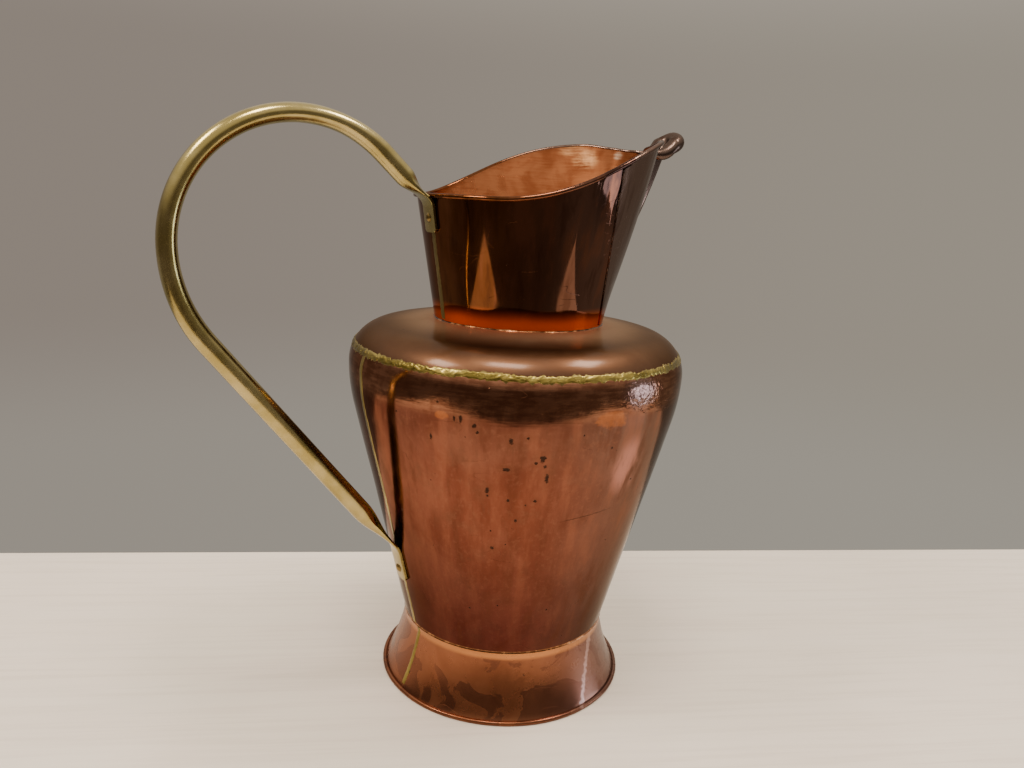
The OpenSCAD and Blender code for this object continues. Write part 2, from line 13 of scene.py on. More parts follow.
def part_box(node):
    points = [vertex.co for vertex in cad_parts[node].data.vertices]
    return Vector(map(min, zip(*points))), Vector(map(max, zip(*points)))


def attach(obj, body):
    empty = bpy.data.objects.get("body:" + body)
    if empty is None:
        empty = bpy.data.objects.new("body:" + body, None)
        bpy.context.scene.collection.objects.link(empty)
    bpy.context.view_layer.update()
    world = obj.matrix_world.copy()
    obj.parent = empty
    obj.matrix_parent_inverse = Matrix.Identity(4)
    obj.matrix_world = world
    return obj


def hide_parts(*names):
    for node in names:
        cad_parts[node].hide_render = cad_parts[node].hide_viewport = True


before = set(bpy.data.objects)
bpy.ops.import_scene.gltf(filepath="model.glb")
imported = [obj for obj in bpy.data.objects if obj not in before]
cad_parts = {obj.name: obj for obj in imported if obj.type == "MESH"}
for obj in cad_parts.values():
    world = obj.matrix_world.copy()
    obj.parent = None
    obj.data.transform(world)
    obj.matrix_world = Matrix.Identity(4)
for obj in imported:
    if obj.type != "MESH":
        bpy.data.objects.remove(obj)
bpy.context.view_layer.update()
MM = 0.001

# Sizes of the can. Two are read from the CAD's boxes and the others are named as in the CAD.
BELLY_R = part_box("body_wall")[1].x
FOOT_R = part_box("foot_skirt")[1].x
RIM_BACK_Z = 435 * MM
BODY_FOOT_R = 92 * MM
BELLY_Z = 292 * MM
SWELL_R = 153 * MM
CORNER_R = 34 * MM
SEAM_ANGLE = 28
BODY_TUCK = 6 * MM
BODY_SHEET = 1 * MM
FOOT_H = 53 * MM
FOOT_FLARE = 2 * MM
FOOT_LAP = 4 * MM
FOOT_SHEET = 0.9 * MM
FOOT_WEAR = 0.3 * MM
NECK_FOOT_R = 74 * MM
NECK_FOOT_Z = 331 * MM
NECK_TUCK = 3 * MM
MOUTH_R = 99 * MM
MOUTH_SHIFT = 8 * MM
MOUTH_RUN = 8 * MM
RIM_SIDE_Z = 489 * MM
RIM_THROAT_Z = 484 * MM
RIM_FRONT_Z = 503 * MM
RIM_RISE_START = 22 * MM
RIM_RISE_SHORT = 10 * MM
RIM_NOSE_X = 129 * MM
RIM_NOSE_CURVE = 2.6
NECK_SHEET = 0.9 * MM
EDGE_WIRE_R = 1.1 * MM
SPOUT_REACH = 157 * MM
NOSE_R = 4.5 * MM
NOSE_LEAN = 5
SPOUT_ROOT_R = 24 * MM
LIP_R = 8 * MM
LIP_FADE = 34 * MM
SPOUT_SWELL = 5 * MM
PANEL_ANGLE = 72
LAP_W = 5 * MM
FAN_ANGLE = 21
TUBE_R = 8 * MM
TUBE_WALL = 1.2 * MM
LOOP_R = 95 * MM
LOOP_BACK = 193 * MM
LOOP_Z = 391 * MM
ARM_BEND_R = 112 * MM
BEND_SQUEEZE = 0.12
TAB_W = 18 * MM
UPPER_TAB = 20 * MM
LOWER_TAB_UP = 16 * MM
LOWER_TAB_DOWN = 11 * MM
LOWER_RIVET_Z = 115 * MM
UPPER_TAPER = 24 * MM
LOWER_TAPER = 46 * MM
SHOULDER_BRAZE_W = 6 * MM
SHOULDER_BRAZE_T = 0.6 * MM
SEAM_BRAZE_W = 5 * MM
SEAM_BRAZE_T = 0.4 * MM
FOOT_SEAM_TURN = 5
FILLET = 1.6 * MM
HAIR = 0.05 * MM

# The camera, the way the can is turned from it, and the table
CAN_TURN = math.radians(33)
CAMERA_AWAY = 0.705
CAMERA_HEIGHT = 0.4338
CAMERA_DOWN = math.radians(13.02)
CAMERA_ROLL = math.radians(3.085)
CAMERA_PAN = math.radians(-0.175)
PHOTO_W = 1024
FOCAL_PX = 800
TABLE_TURN = math.radians(-25.2)
TABLE_BACK = 0.231
TABLE_FRONT = -0.62
TABLE_HALF = 0.85
TABLE_THICK = 0.03

AROUND = 256


def along(degrees):
    return Vector((math.cos(math.radians(degrees)), math.sin(math.radians(degrees))))


def clamp(x, low=0.0, high=1.0):
    return max(low, min(high, x))


def smooth(x):
    t = clamp(x)
    return t * t * (3 - 2 * t)


def mix(a, b, t):
    return a + (b - a) * t


def angle_of(v):
    return math.degrees(math.atan2(v[1], v[0]))


def tangent_angle(centre, radius, point, side):
    """Direction from a circle's centre to the point where a line from point touches it."""
    return angle_of(point - centre) + side * math.degrees(math.acos(radius / (point - centre).length))


# Body outline, as in the CAD: a straight taper, a slow swell and a tight corner, all tangent
SWELL_C = Vector((BELLY_R - SWELL_R, BELLY_Z))
CORNER_C = Vector((BELLY_R - CORNER_R, BELLY_Z))
FOOT_JOINT = Vector((BODY_FOOT_R, FOOT_H))
NECK_FOOT = Vector((NECK_FOOT_R, NECK_FOOT_Z))
TAPER_A = tangent_angle(SWELL_C, SWELL_R, FOOT_JOINT, 1)
CROWN_A = tangent_angle(CORNER_C, CORNER_R, NECK_FOOT, -1)
TAPER_UP = Vector((-math.sin(math.radians(TAPER_A)), math.cos(math.radians(TAPER_A))))
TAPER_TOP = SWELL_C + SWELL_R * along(TAPER_A)
TAPER_LEN = (TAPER_TOP - FOOT_JOINT).length


def arc(centre, radius, a0, a1, steps):
    return [centre + radius * along(mix(a0, a1, k / steps)) for k in range(steps + 1)]


def line(p, q, steps):
    return [mix(p, q, k / steps) for k in range(steps + 1)]


def taper_point(up, inset=0.0):
    return FOOT_JOINT + up * TAPER_UP - inset * along(TAPER_A)


def body_face(inset, steps):
    """The body's side from its tuck in the foot to the shoulder's seam."""
    return (line(taper_point(-BODY_TUCK, inset), taper_point(TAPER_LEN, inset), steps)
            + arc(SWELL_C, SWELL_R - inset, TAPER_A, 0, steps // 3)[1:]
            + arc(CORNER_C, CORNER_R - inset, 0, SEAM_ANGLE, steps // 4)[1:])


def crown_face(inset, steps):
    """The shoulder from its seam to the neck."""
    return (arc(CORNER_C, CORNER_R - inset, SEAM_ANGLE, CROWN_A, steps)
            + line(CORNER_C + (CORNER_R - inset) * along(CROWN_A),
                   NECK_FOOT - inset * along(CROWN_A), steps)[1:])


# Making pieces

def alone(piece=None):
    """Nothing stays selected but the piece."""
    if bpy.context.object and bpy.context.object.mode == "EDIT":
        bpy.ops.object.mode_set(mode="OBJECT")
    bpy.ops.object.select_all(action="DESELECT")
    if piece:
        piece.select_set(True)
        bpy.context.view_layer.objects.active = piece


def editing(piece):
    alone(piece)
    bpy.ops.object.mode_set(mode="EDIT")
    bpy.ops.mesh.select_all(action="SELECT")


def modified(piece, kind, **settings):
    """Adds a modifier and applies it."""
    alone(piece)
    bpy.ops.object.modifier_add(type=kind)
    modifier = piece.modifiers[-1]
    for name, value in settings.items():
        setattr(modifier, name, value)
    bpy.ops.object.modifier_apply(modifier=modifier.name)


def tidied(piece, smooth_angle=40):
    """Merges doubles, turns the faces outward, puts the origin at the frame's and smooths."""
    editing(piece)
    bpy.ops.mesh.remove_doubles(threshold=0.000002)
    bpy.ops.mesh.normals_make_consistent(inside=False)
    alone(piece)
    bpy.ops.object.transform_apply(location=True, rotation=True, scale=True)
    bpy.ops.object.shade_smooth_by_angle(angle=math.radians(smooth_angle))


def turned(name, outline, around=AROUND):
    """A circle drawn into ring after ring along a closed outline of (radius, height) points."""
    alone()
    radius, height = outline[0]
    bpy.ops.mesh.primitive_circle_add(vertices=around, radius=radius, location=(0, 0, height))
    piece = bpy.context.object
    piece.name = name
    editing(piece)
    for r, z in outline[1:] + outline[:1]:
        bpy.ops.mesh.extrude_edges_move(TRANSFORM_OT_translate={"value": (0, 0, z - height)})
        bpy.ops.transform.resize(value=(r / radius, r / radius, 1), center_override=(0, 0, 0))
        radius, height = r, z
    tidied(piece)
    return piece


SCAFFOLD_R = 0.1
SCAFFOLD_STEP = 0.001


def drawn(name, around, rings, place, keep=None):
    """A circle extruded up into a straight tube of rings, each of whose points is then moved to
    place(turn, ring). Where keep is given, only those turns of the tube are left."""
    alone()
    bpy.ops.mesh.primitive_circle_add(vertices=around, radius=SCAFFOLD_R, location=(0, 0, 0))
    piece = bpy.context.object
    piece.name = name
    editing(piece)
    for _ in range(rings - 1):
        bpy.ops.mesh.extrude_edges_move(TRANSFORM_OT_translate={"value": (0, 0, SCAFFOLD_STEP)})
    alone(piece)
    bpy.ops.object.transform_apply(location=True, rotation=True, scale=True)
    spots = {}
    for v in piece.data.vertices:
        turn = round(math.atan2(v.co.y, v.co.x) / (2 * math.pi) * around) % around
        spots[v.index] = (turn, round(v.co.z / SCAFFOLD_STEP))
    if keep:
        editing(piece)
        bpy.ops.mesh.select_mode(type="VERT")
        bpy.ops.mesh.select_all(action="DESELECT")
        alone(piece)
    for v in piece.data.vertices:
        turn, ring = spots[v.index]
        v.select = bool(keep) and turn not in keep
        if not v.select:
            v.co = place(turn, ring)
    if keep:
        bpy.ops.object.mode_set(mode="EDIT")
        bpy.ops.mesh.delete(type="VERT")
        alone(piece)
    return piece


def joined(name, pieces):
    alone(pieces[0])
    for piece in pieces:
        piece.select_set(True)
    bpy.ops.object.join()
    pieces[0].name = name
    return pieces[0]


# The hand of the maker: slow dents all over, the same field on every piece so that joints stay shut
DENT_DEPTH = 0.35 * MM
DENT_SIZE = 0.055


def dent(p):
    return DENT_DEPTH * noise.noise(Vector(p) / DENT_SIZE)


def wander(p, size, seed=0):
    return noise.noise(Vector(p) / size + Vector((seed, 2 * seed, 3 * seed)))


def dented(piece):
    """Moves each point in or out from the can's axis by the dents' depth there."""
    for v in piece.data.vertices:
        out = Vector((v.co.x, v.co.y, 0))
        if out.length > BODY_FOOT_R / 2:
            v.co += out.normalized() * dent(v.co)
    piece.data.update()


BODY_STEPS = (36, 12)
CROWN_STEPS = (16, 8)


def make_body():
    outer, inner = BODY_STEPS
    piece = turned("body_sheet", body_face(0, outer) + body_face(BODY_SHEET, inner)[::-1])
    dented(piece)
    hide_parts("body_wall")
    return piece


def make_shoulder():
    outer, inner = CROWN_STEPS
    piece = turned("shoulder_sheet", crown_face(0, outer) + crown_face(BODY_SHEET, inner)[::-1])
    dented(piece)
    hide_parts("shoulder_dome")
    return piece


FOOT_ROLL_R = EDGE_WIRE_R + FOOT_SHEET
FOOT_ROLL_C = Vector((FOOT_R - FOOT_ROLL_R, FOOT_ROLL_R - FOOT_WEAR))
FOOT_EDGE = FOOT_ROLL_C - Vector((FOOT_ROLL_R - FOOT_SHEET, 0))
FOOT_NECK = taper_point(0, -FOOT_SHEET)


def flare_point(t):
    run = FOOT_NECK - FOOT_EDGE
    side = Vector((-run.y, run.x)).normalized()
    return FOOT_EDGE + run * t + side * FOOT_FLARE * 4 * t * (1 - t)


FLARE_STEPS = 20
FOOT_ROLL_STEPS = 18
LAP_GAP = 0.02 * MM


def make_foot():
    """The flare and its rolled edge: down the outer face, round the roll and up the inside."""
    steps = FLARE_STEPS
    outer = [flare_point(k / steps) for k in range(steps, 0, -1)]
    start = angle_of(flare_point(0.03) - FOOT_ROLL_C)
    roll = arc(FOOT_ROLL_C, FOOT_ROLL_R, start, -180, FOOT_ROLL_STEPS)
    roll = [Vector((p.x, max(p.y, 0.0))) for p in roll]
    inner = [flare_point(k / steps) - Vector((FOOT_SHEET, 0)) for k in range(1, steps + 1)]
    outer = [p for p in outer if (p - FOOT_ROLL_C).length > FOOT_ROLL_R]
    inner = [p for p in inner if (p - FOOT_ROLL_C).length > FOOT_ROLL_R]
    outline = [taper_point(FOOT_LAP, -FOOT_SHEET)] + outer + roll + inner + [
        taper_point(0, LAP_GAP), taper_point(FOOT_LAP, LAP_GAP)]
    piece = turned("foot_sheet", outline)
    dented(piece)
    for v in piece.data.vertices:
        v.co.z = max(v.co.z, 0.0)
    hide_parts("foot_skirt")
    return piece


# Neck: stations round the rim, each a place in plan and an outward direction, as in the CAD
BACK_C = Vector((MOUTH_SHIFT, 0))
FRONT_C = Vector((MOUTH_SHIFT + MOUTH_RUN, 0))
NOSE_C = Vector((SPOUT_REACH - NOSE_R, 0))
CHANNEL_A = 90 - NOSE_LEAN
CHANNEL_OUT = along(CHANNEL_A)
CHANNEL_BACK = along(CHANNEL_A + 90)
ROOT_FROM = NOSE_C + (NOSE_R + SPOUT_ROOT_R) * CHANNEL_OUT
ROOT_STEP = (FRONT_C - ROOT_FROM).dot(CHANNEL_BACK) - math.sqrt(
    (FRONT_C - ROOT_FROM).dot(CHANNEL_BACK) ** 2 - (FRONT_C - ROOT_FROM).length_squared
    + (MOUTH_R + SPOUT_ROOT_R) ** 2)
ROOT_C = ROOT_FROM + ROOT_STEP * CHANNEL_BACK
ROOT_A = angle_of(ROOT_C - FRONT_C)
MOUTH_BACK = MOUTH_R - MOUTH_SHIFT
MOUTH_FRONT = FRONT_C.x + MOUTH_R
THROAT_X = ROOT_C.x - SPOUT_ROOT_R * math.cos(math.radians((CHANNEL_A + ROOT_A) / 2))
DIP_RUN = 20 * MM
RIM_LOW_X = RIM_RISE_START - MOUTH_BACK
RIM_HIGH_X = MOUTH_FRONT - RIM_RISE_SHORT
RIM_ROLL_R = EDGE_WIRE_R + NECK_SHEET


# Stations on the nose, along the beak's side, in its root, and on the mouth's front and back
NOSE_STEPS, BEAK_STEPS, ROOT_STEPS, FRONT_STEPS, BACK_STEPS = 12, 8, 15, 28, 36


def rim_arc(centre, radius, a0, a1, steps, first=1):
    """Stations round an arc. A hollow arc, whose outward side is its inside, has a radius below 0."""
    ways = [along(mix(a0, a1, k / steps)) for k in range(first, steps + 1)]
    return [(centre + radius * way, way) for way in ways]


def half_rim():
    """From the nose round the +Y side to the back."""
    nose = rim_arc(NOSE_C, NOSE_R, 0, CHANNEL_A, NOSE_STEPS, 0)
    start = NOSE_C + NOSE_R * CHANNEL_OUT
    end = ROOT_C - SPOUT_ROOT_R * CHANNEL_OUT
    channel = [(mix(start, end, k / BEAK_STEPS), CHANNEL_OUT) for k in range(1, BEAK_STEPS + 1)]
    root = rim_arc(ROOT_C, -SPOUT_ROOT_R, CHANNEL_A, ROOT_A, ROOT_STEPS)
    front = rim_arc(FRONT_C, MOUTH_R, ROOT_A, 90, FRONT_STEPS)
    back = rim_arc(BACK_C, MOUTH_R, 90, 180, BACK_STEPS, 0)
    return nose + channel + root + front + back


HALF = half_rim()
STATIONS = HALF + [(Vector((p.x, -p.y)), Vector((n.x, -n.y))) for p, n in HALF[-2:0:-1]]


def rim_z(x):
    climb = smooth((x - RIM_LOW_X) / (RIM_HIGH_X - RIM_LOW_X))
    dip = smooth((x - THROAT_X + DIP_RUN) / DIP_RUN)
    nose = clamp((x - RIM_NOSE_X) / (SPOUT_REACH - RIM_NOSE_X)) ** RIM_NOSE_CURVE
    return (mix(RIM_BACK_Z, RIM_SIDE_Z, climb) - (RIM_SIDE_Z - RIM_THROAT_Z) * dip
            + (RIM_FRONT_Z - RIM_THROAT_Z) * nose)


def station_angle(s):
    return angle_of(s[0])


def base_angle(a):
    return a - FAN_ANGLE * math.sin(math.radians(a))


def roll_r(s):
    return mix(LIP_R, RIM_ROLL_R, smooth((s[0] - Vector((SPOUT_REACH, 0))).length / LIP_FADE))


def roll_z(s):
    return rim_z(s[0].x) - roll_r(s)


# The neck was raised on a stake in upright strokes, which left faint flats round it
FLAT_DEPTH = 0.22 * MM
FLATS = 11
SWELL_END = PANEL_ANGLE - math.degrees(LAP_W / 2 / MOUTH_R)


def wall_point(s, t, out):
    """A point of the wall at share t of its height, out from its outer face."""
    base = (NECK_FOOT_R + out) * along(base_angle(station_angle(s)))
    top = s[0] + out * s[1]
    p = mix(base, top, t)
    z = mix(NECK_FOOT_Z, roll_z(s), t)
    fade = smooth(clamp(t) * 4) * smooth((1 - clamp(t)) * 6)
    flats = FLAT_DEPTH * math.cos(FLATS * math.radians(station_angle(s)) + 3 * t)
    rise = clamp(t)
    swell = SPOUT_SWELL * 4 * rise * (1 - rise) * smooth(1 - abs(station_angle(s)) / SWELL_END)
    p = p + s[1] * (swell + fade * (flats + dent((p.x, p.y, z)) / 2))
    return Vector((p.x, p.y, z))


def roll_point(s, r, degrees):
    p = s[0] + s[1] * (roll_r(s) - NECK_SHEET - r * math.cos(math.radians(degrees)))
    return Vector((p.x, p.y, roll_z(s) + r * math.sin(math.radians(degrees))))


WALL_ROWS = 28
ROLL_ROWS = 20
ROLL_TURN = 290


def neck_place(turn, ring):
    """The middle of the sheet: a tuck through the shoulder, the wall, then the roll."""
    s = STATIONS[turn]
    if ring == 0:
        p = wall_point(s, 0, -NECK_SHEET / 2)
        return Vector((p.x, p.y, NECK_FOOT_Z - NECK_TUCK))
    if ring <= WALL_ROWS:
        return wall_point(s, (ring - 1) / WALL_ROWS, -NECK_SHEET / 2)
    step = ring - WALL_ROWS - 1
    return roll_point(s, roll_r(s) - NECK_SHEET / 2, ROLL_TURN * step / ROLL_ROWS)


def first_turn(a):
    return max(k for k, s in enumerate(HALF) if station_angle(s) <= a)


PANEL_TURN = first_turn(PANEL_ANGLE)
LAP_TURN = first_turn(PANEL_ANGLE + math.degrees(LAP_W / MOUTH_R)) + 1
TURNS = len(STATIONS)


def neck_sheet(name, keep):
    piece = drawn(name, TURNS, WALL_ROWS + ROLL_ROWS + 2, neck_place, keep)
    modified(piece, "SOLIDIFY", thickness=NECK_SHEET, offset=0, use_even_offset=True)
    tidied(piece, 35)
    return piece


def lap_place(side):
    def place(turn, ring):
        s = STATIONS[turn]
        t = clamp(0.016 + ring / WALL_ROWS * 0.96)
        edge = abs(turn - (PANEL_TURN if side > 0 else TURNS - PANEL_TURN))
        return wall_point(s, t, NECK_SHEET / 2 + (HAIR if edge else -NECK_SHEET * 0.4))
    return place


def make_neck():
    wall = neck_sheet("neck_sheet", set(range(PANEL_TURN, TURNS - PANEL_TURN + 1)))
    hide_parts("neck_wall")
    panel = neck_sheet("spout_sheet",
                       set(range(0, PANEL_TURN + 1)) | set(range(TURNS - PANEL_TURN, TURNS)))
    laps = []
    for side in (1, -1):
        low, high = PANEL_TURN, LAP_TURN
        keep = set(range(low, high + 1)) if side > 0 else set(range(TURNS - high, TURNS - low + 1))
        lap = drawn("lap", TURNS, WALL_ROWS + 1, lap_place(side), keep)
        modified(lap, "SOLIDIFY", thickness=NECK_SHEET, offset=0)
        tidied(lap, 35)
        laps.append(lap)
    panel = joined("spout_sheet", [panel] + laps)
    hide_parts("spout_panel")
    return wall, panel


WIRE_SIDES = 8
WIRE_R = 1 * MM


def make_rim_wire():
    """The wire under the top of the roll, as rings of places along it."""
    def place(turn, ring):
        s = STATIONS[turn]
        hollow = roll_r(s) - NECK_SHEET
        side = WIRE_R * along(360 * ring / WIRE_SIDES)
        p = s[0] + s[1] * (hollow + side.x)
        return Vector((p.x, p.y, roll_z(s) + hollow - EDGE_WIRE_R + side.y))
    piece = drawn("rim_wire_round", TURNS, WIRE_SIDES + 1, place)
    tidied(piece, 60)
    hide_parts("rim_wire")
    return piece


# Handle: the tube's middle line, as in the CAD. A path point is [place, direction, squeeze].
TAB_T = 2 * TUBE_WALL
TAB_LIFT = SEAM_BRAZE_T + HAIR + TAB_T / 2
UPPER_FOLD_R = 12 * MM
LOWER_FOLD_R = 20 * MM
UPPER_FOLD_DROP = 7 * MM
BACK_STATION = HALF[-1]


def neck_back_x(z):
    t = (z - NECK_FOOT_Z) / (roll_z(BACK_STATION) - NECK_FOOT_Z)
    return -mix(NECK_FOOT_R, MOUTH_BACK, t)


UPPER_TAB_A = math.degrees(math.atan2(
    UPPER_TAB, neck_back_x(NECK_FOOT_Z + UPPER_TAB) - neck_back_x(NECK_FOOT_Z)))
UPPER_TAB_TOP = (Vector((neck_back_x(RIM_BACK_Z - 2 * RIM_ROLL_R), RIM_BACK_Z - 2 * RIM_ROLL_R))
                 + along(UPPER_TAB_A + 90) * TAB_LIFT - along(UPPER_TAB_A) * UPPER_FOLD_DROP)
UPPER_FOLD_C = UPPER_TAB_TOP + UPPER_FOLD_R * along(UPPER_TAB_A + 90)
LOOP_C = Vector((-LOOP_BACK, LOOP_Z))
CLIMB_A = 360 + angle_of(LOOP_C - UPPER_FOLD_C) - math.degrees(
    math.asin((LOOP_R - UPPER_FOLD_R) / (LOOP_C - UPPER_FOLD_C).length))
ARM_C = LOOP_C + Vector((ARM_BEND_R - LOOP_R, 0))
LOWER_TAB_A = 270 - TAPER_A
LOWER_RIVET_UP = (LOWER_RIVET_Z - FOOT_H) / TAPER_UP.y


def back_of(p):
    return Vector((-p.x, p.y))


LOWER_TAB_TOP = back_of(taper_point(LOWER_RIVET_UP + LOWER_TAB_UP, -TAB_LIFT))
LOWER_FOLD_C = LOWER_TAB_TOP - LOWER_FOLD_R * along(LOWER_TAB_A + 90)
ARM_A = angle_of(LOWER_FOLD_C - ARM_C) + 360 + math.degrees(
    math.asin((ARM_BEND_R + LOWER_FOLD_R) / (LOWER_FOLD_C - ARM_C).length))


def bend(centre, radius, a0, a1, steps, s0=0.0, s1=0.0, left=True):
    side = -90 if left else 90
    return [(centre + radius * along(mix(a0, a1, k / steps) + side), mix(a0, a1, k / steps),
             mix(s0, s1, smooth(k / min(steps, ARM_BEND_STEPS)))) for k in range(steps + 1)]


def straight(p, q, a, steps):
    return [(mix(p, q, k / steps), a, 0.0) for k in range(steps + 1)]


TAB_STEPS = 12
FOLD_STEPS = 8
CLIMB_STEPS = 20
LOOP_STEPS = 64
ARM_BEND_STEPS = 14
ARM_STEPS = 60


def tab_line(end, fold, a):
    """A tab's points, close together at its end."""
    return [(mix(end, fold, (k / TAB_STEPS) ** 2), a, 0.0) for k in range(TAB_STEPS + 1)]


def handle_path():
    fold = bend(UPPER_FOLD_C, UPPER_FOLD_R, UPPER_TAB_A, CLIMB_A, FOLD_STEPS)
    loop = bend(LOOP_C, LOOP_R, CLIMB_A, 270, LOOP_STEPS, 0, 1)
    arm_bend = bend(ARM_C, ARM_BEND_R, 270, ARM_A, ARM_BEND_STEPS, 1, 0)
    low_fold = bend(LOWER_FOLD_C, LOWER_FOLD_R, ARM_A, LOWER_TAB_A, FOLD_STEPS, left=False)
    tab = tab_line(UPPER_TAB_TOP - UPPER_TAB * along(UPPER_TAB_A), UPPER_TAB_TOP, UPPER_TAB_A)
    climb = straight(fold[-1][0], loop[0][0], CLIMB_A, CLIMB_STEPS)
    arm = straight(arm_bend[-1][0], low_fold[0][0], ARM_A, ARM_STEPS)
    low_end = LOWER_TAB_TOP + (LOWER_TAB_UP + LOWER_TAB_DOWN) * along(LOWER_TAB_A)
    low_tab = tab_line(low_end, LOWER_TAB_TOP, LOWER_TAB_A)[::-1]
    path = tab
    for part in (fold, climb, loop, arm_bend, arm, low_fold, low_tab):
        path = path + part[1:]
    return path, climb[0][0], low_fold[0][0]


PATH, CLIMB_FROM, ARM_TO = handle_path()
SIDES = 40
TAB_END_RUN = 3 * MM
TAB_END_SHARE = 0.55
RIDGE_PINCH = 2.4


def tube_flat(k):
    """How far the tube is flattened at a ring: 0 is round, 1 is a flat tab."""
    p, a, _ = PATH[k]
    if min(k, len(PATH) - 1 - k) <= TAB_STEPS + FOLD_STEPS:
        return 1.0
    up = 1 - smooth((p - CLIMB_FROM).length / UPPER_TAPER) if a < CLIMB_A + 90 else 0.0
    low = 0.0
    if a > LOWER_TAB_A and (p - ARM_TO).length < LOWER_TAPER:
        low = 1 - smooth((p - ARM_TO).length / LOWER_TAPER)
    return max(up, low)


def end_share(k):
    """The tabs' ends are filed round: the share of the width that is left at a ring."""
    gap = min((PATH[k][0] - PATH[0][0]).length, (PATH[k][0] - PATH[-1][0]).length)
    left = clamp(gap / TAB_END_RUN)
    return TAB_END_SHARE + (1 - TAB_END_SHARE) * math.sqrt(1 - (1 - left) ** 2)


def tube_place(turn, ring):
    """The side away from the can stays flat and wide while the side toward it closes to a ridge
    with a hollow on each flank."""
    p, a, squeeze = PATH[ring]
    f = tube_flat(ring)
    upper = ring < len(PATH) / 2
    away = 1 if upper else -1
    wall_r = MOUTH_BACK if upper else BODY_FOOT_R
    ridge = RIDGE_PINCH * f * (1 - f)
    u, v = math.cos(-2 * math.pi * turn / SIDES), math.sin(-2 * math.pi * turn / SIDES)
    deep = TUBE_R * (1 - BEND_SQUEEZE * squeeze)
    wide = TUBE_R * (1 + BEND_SQUEEZE * squeeze)
    y = mix(wide * v, TAB_W / 2 * clamp(v * 1.3, -1, 1), f * f) * mix(1, end_share(ring), f)
    y *= 1 - ridge * clamp(-away * u * 1.5) ** 0.8
    n = mix(deep * u, TAB_T / 2 * clamp(u * 1.5, -1, 1), f) - away * f * y * y / (2 * wall_r)
    spot = p + along(a + 90) * n
    return Vector((spot.x, y, spot.y))


def make_handle():
    piece = drawn("handle_brass_tube", SIDES, len(PATH), tube_place)
    editing(piece)
    bpy.ops.mesh.fill_holes(sides=SIDES)
    tidied(piece, 50)
    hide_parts("handle_tube")
    return piece


SOLDER_LEAST = 0.6
SOLDER_LUMPS = 9 * MM
SOLDER_DEEP = 0.3 * MM


def make_neck_solder():
    """A fillet round the neck's foot, drawn as four lines round it."""
    drop = FILLET / math.tan(math.radians(CROWN_A))

    def place(turn, ring):
        s = STATIONS[turn]
        way = along(base_angle(station_angle(s)))
        lump = noise.noise(Vector((way.x, way.y, 0)) * NECK_FOOT_R / SOLDER_LUMPS)
        size = SOLDER_LEAST + (1 - SOLDER_LEAST) * lump
        high = wall_point(s, FILLET * size / (roll_z(s) - NECK_FOOT_Z), HAIR)
        low = way * (NECK_FOOT_R + FILLET * size)
        low = Vector((low.x, low.y, NECK_FOOT_Z - drop * size))
        corner = Vector((way.x * NECK_FOOT_R, way.y * NECK_FOOT_R, NECK_FOOT_Z))
        deep = corner - Vector((0, 0, SOLDER_DEEP))
        return [deep, high, mix(mix(high, low, 0.5), corner, 0.3), low, deep][ring]
    piece = drawn("neck_solder", TURNS, 5, place)
    tidied(piece, 60)
    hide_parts("neck_base_solder")
    return piece


BEAD_DEEP = 0.2 * MM
BEAD_STRAY = 0.12 * FILLET
BEAD_WAVE = 25 * MM


def make_foot_solder():
    high = taper_point(FOOT_LAP + FILLET)
    low = taper_point(FOOT_LAP, -FOOT_SHEET)
    deep = taper_point(FOOT_LAP, BEAD_DEEP)
    middle = mix(mix(high, low, 0.5), deep, 0.1)
    outline = [deep, low, mix(low, middle, 0.5), middle, mix(middle, high, 0.5), high]
    piece = turned("foot_solder", outline)
    for v in piece.data.vertices:
        if v.co.z > low.y + 2 * HAIR:
            v.co.z += BEAD_STRAY * wander(v.co, BEAD_WAVE)
    dented(piece)
    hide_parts("foot_joint_solder")
    return piece


# Brass seams: strips that were run in molten, with edges that wander
SEAM_STRAYS = [(0.50, 3.5 * MM, 3), (0.30, 14 * MM, 7), (0.35, 1.6 * MM, 11)]


def seam_edge(p, side):
    """How far an edge of a seam strays, as a share of half its width."""
    return sum(share * wander(p, size, seed + side) for share, size, seed in SEAM_STRAYS)


SEAM_ROUND = 1200
SEAM_ACROSS = 12
SEAM_DRIFT = 0.25
SEAM_DRIFT_SIZE = 45 * MM
SEAM_LUMPS = 0.7


def make_shoulder_seam():
    half = math.degrees(SHOULDER_BRAZE_W / 2 / CORNER_R)
    shares = [2 * k / SEAM_ACROSS - 1 for k in range(SEAM_ACROSS + 1)]
    face = [CORNER_C + (CORNER_R + SHOULDER_BRAZE_T * math.sqrt(1 - w * w)) * along(
        SEAM_ANGLE + half * w) for w in shares]
    back = arc(CORNER_C, CORNER_R - BODY_SHEET / 2, SEAM_ANGLE + half, SEAM_ANGLE - half, 4)
    piece = turned("shoulder_seam", face + back, SEAM_ROUND)
    for v in piece.data.vertices:
        round_way = Vector((v.co.x, v.co.y, 0)).normalized()
        rel = Vector((v.co.xy.length, v.co.z)) - CORNER_C
        share = (angle_of(rel) - SEAM_ANGLE) / half
        side = 1 if share > 0 else -1
        p = round_way * SWELL_R
        middle = SEAM_DRIFT * wander(p, SEAM_DRIFT_SIZE, 5)
        a = SEAM_ANGLE + half * (share * (1 + seam_edge(p, side)) + middle)
        lumps = wander(v.co, 4 * MM, 1) + 0.6 * wander(v.co, 1.6 * MM, 2)
        lift = max(rel.length - CORNER_R, 0) * (1 + SEAM_LUMPS * lumps)
        spot = CORNER_C + (min(rel.length, CORNER_R) + lift) * along(a)
        v.co = round_way * spot.x + Vector((0, 0, spot.y))
    dented(piece)
    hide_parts("shoulder_seam_braze")
    return piece


STRIP_ACROSS = 10
STRIP_TURNS = 16
STRIP_CROWN = 0.75
STRIP_SINK = 0.15


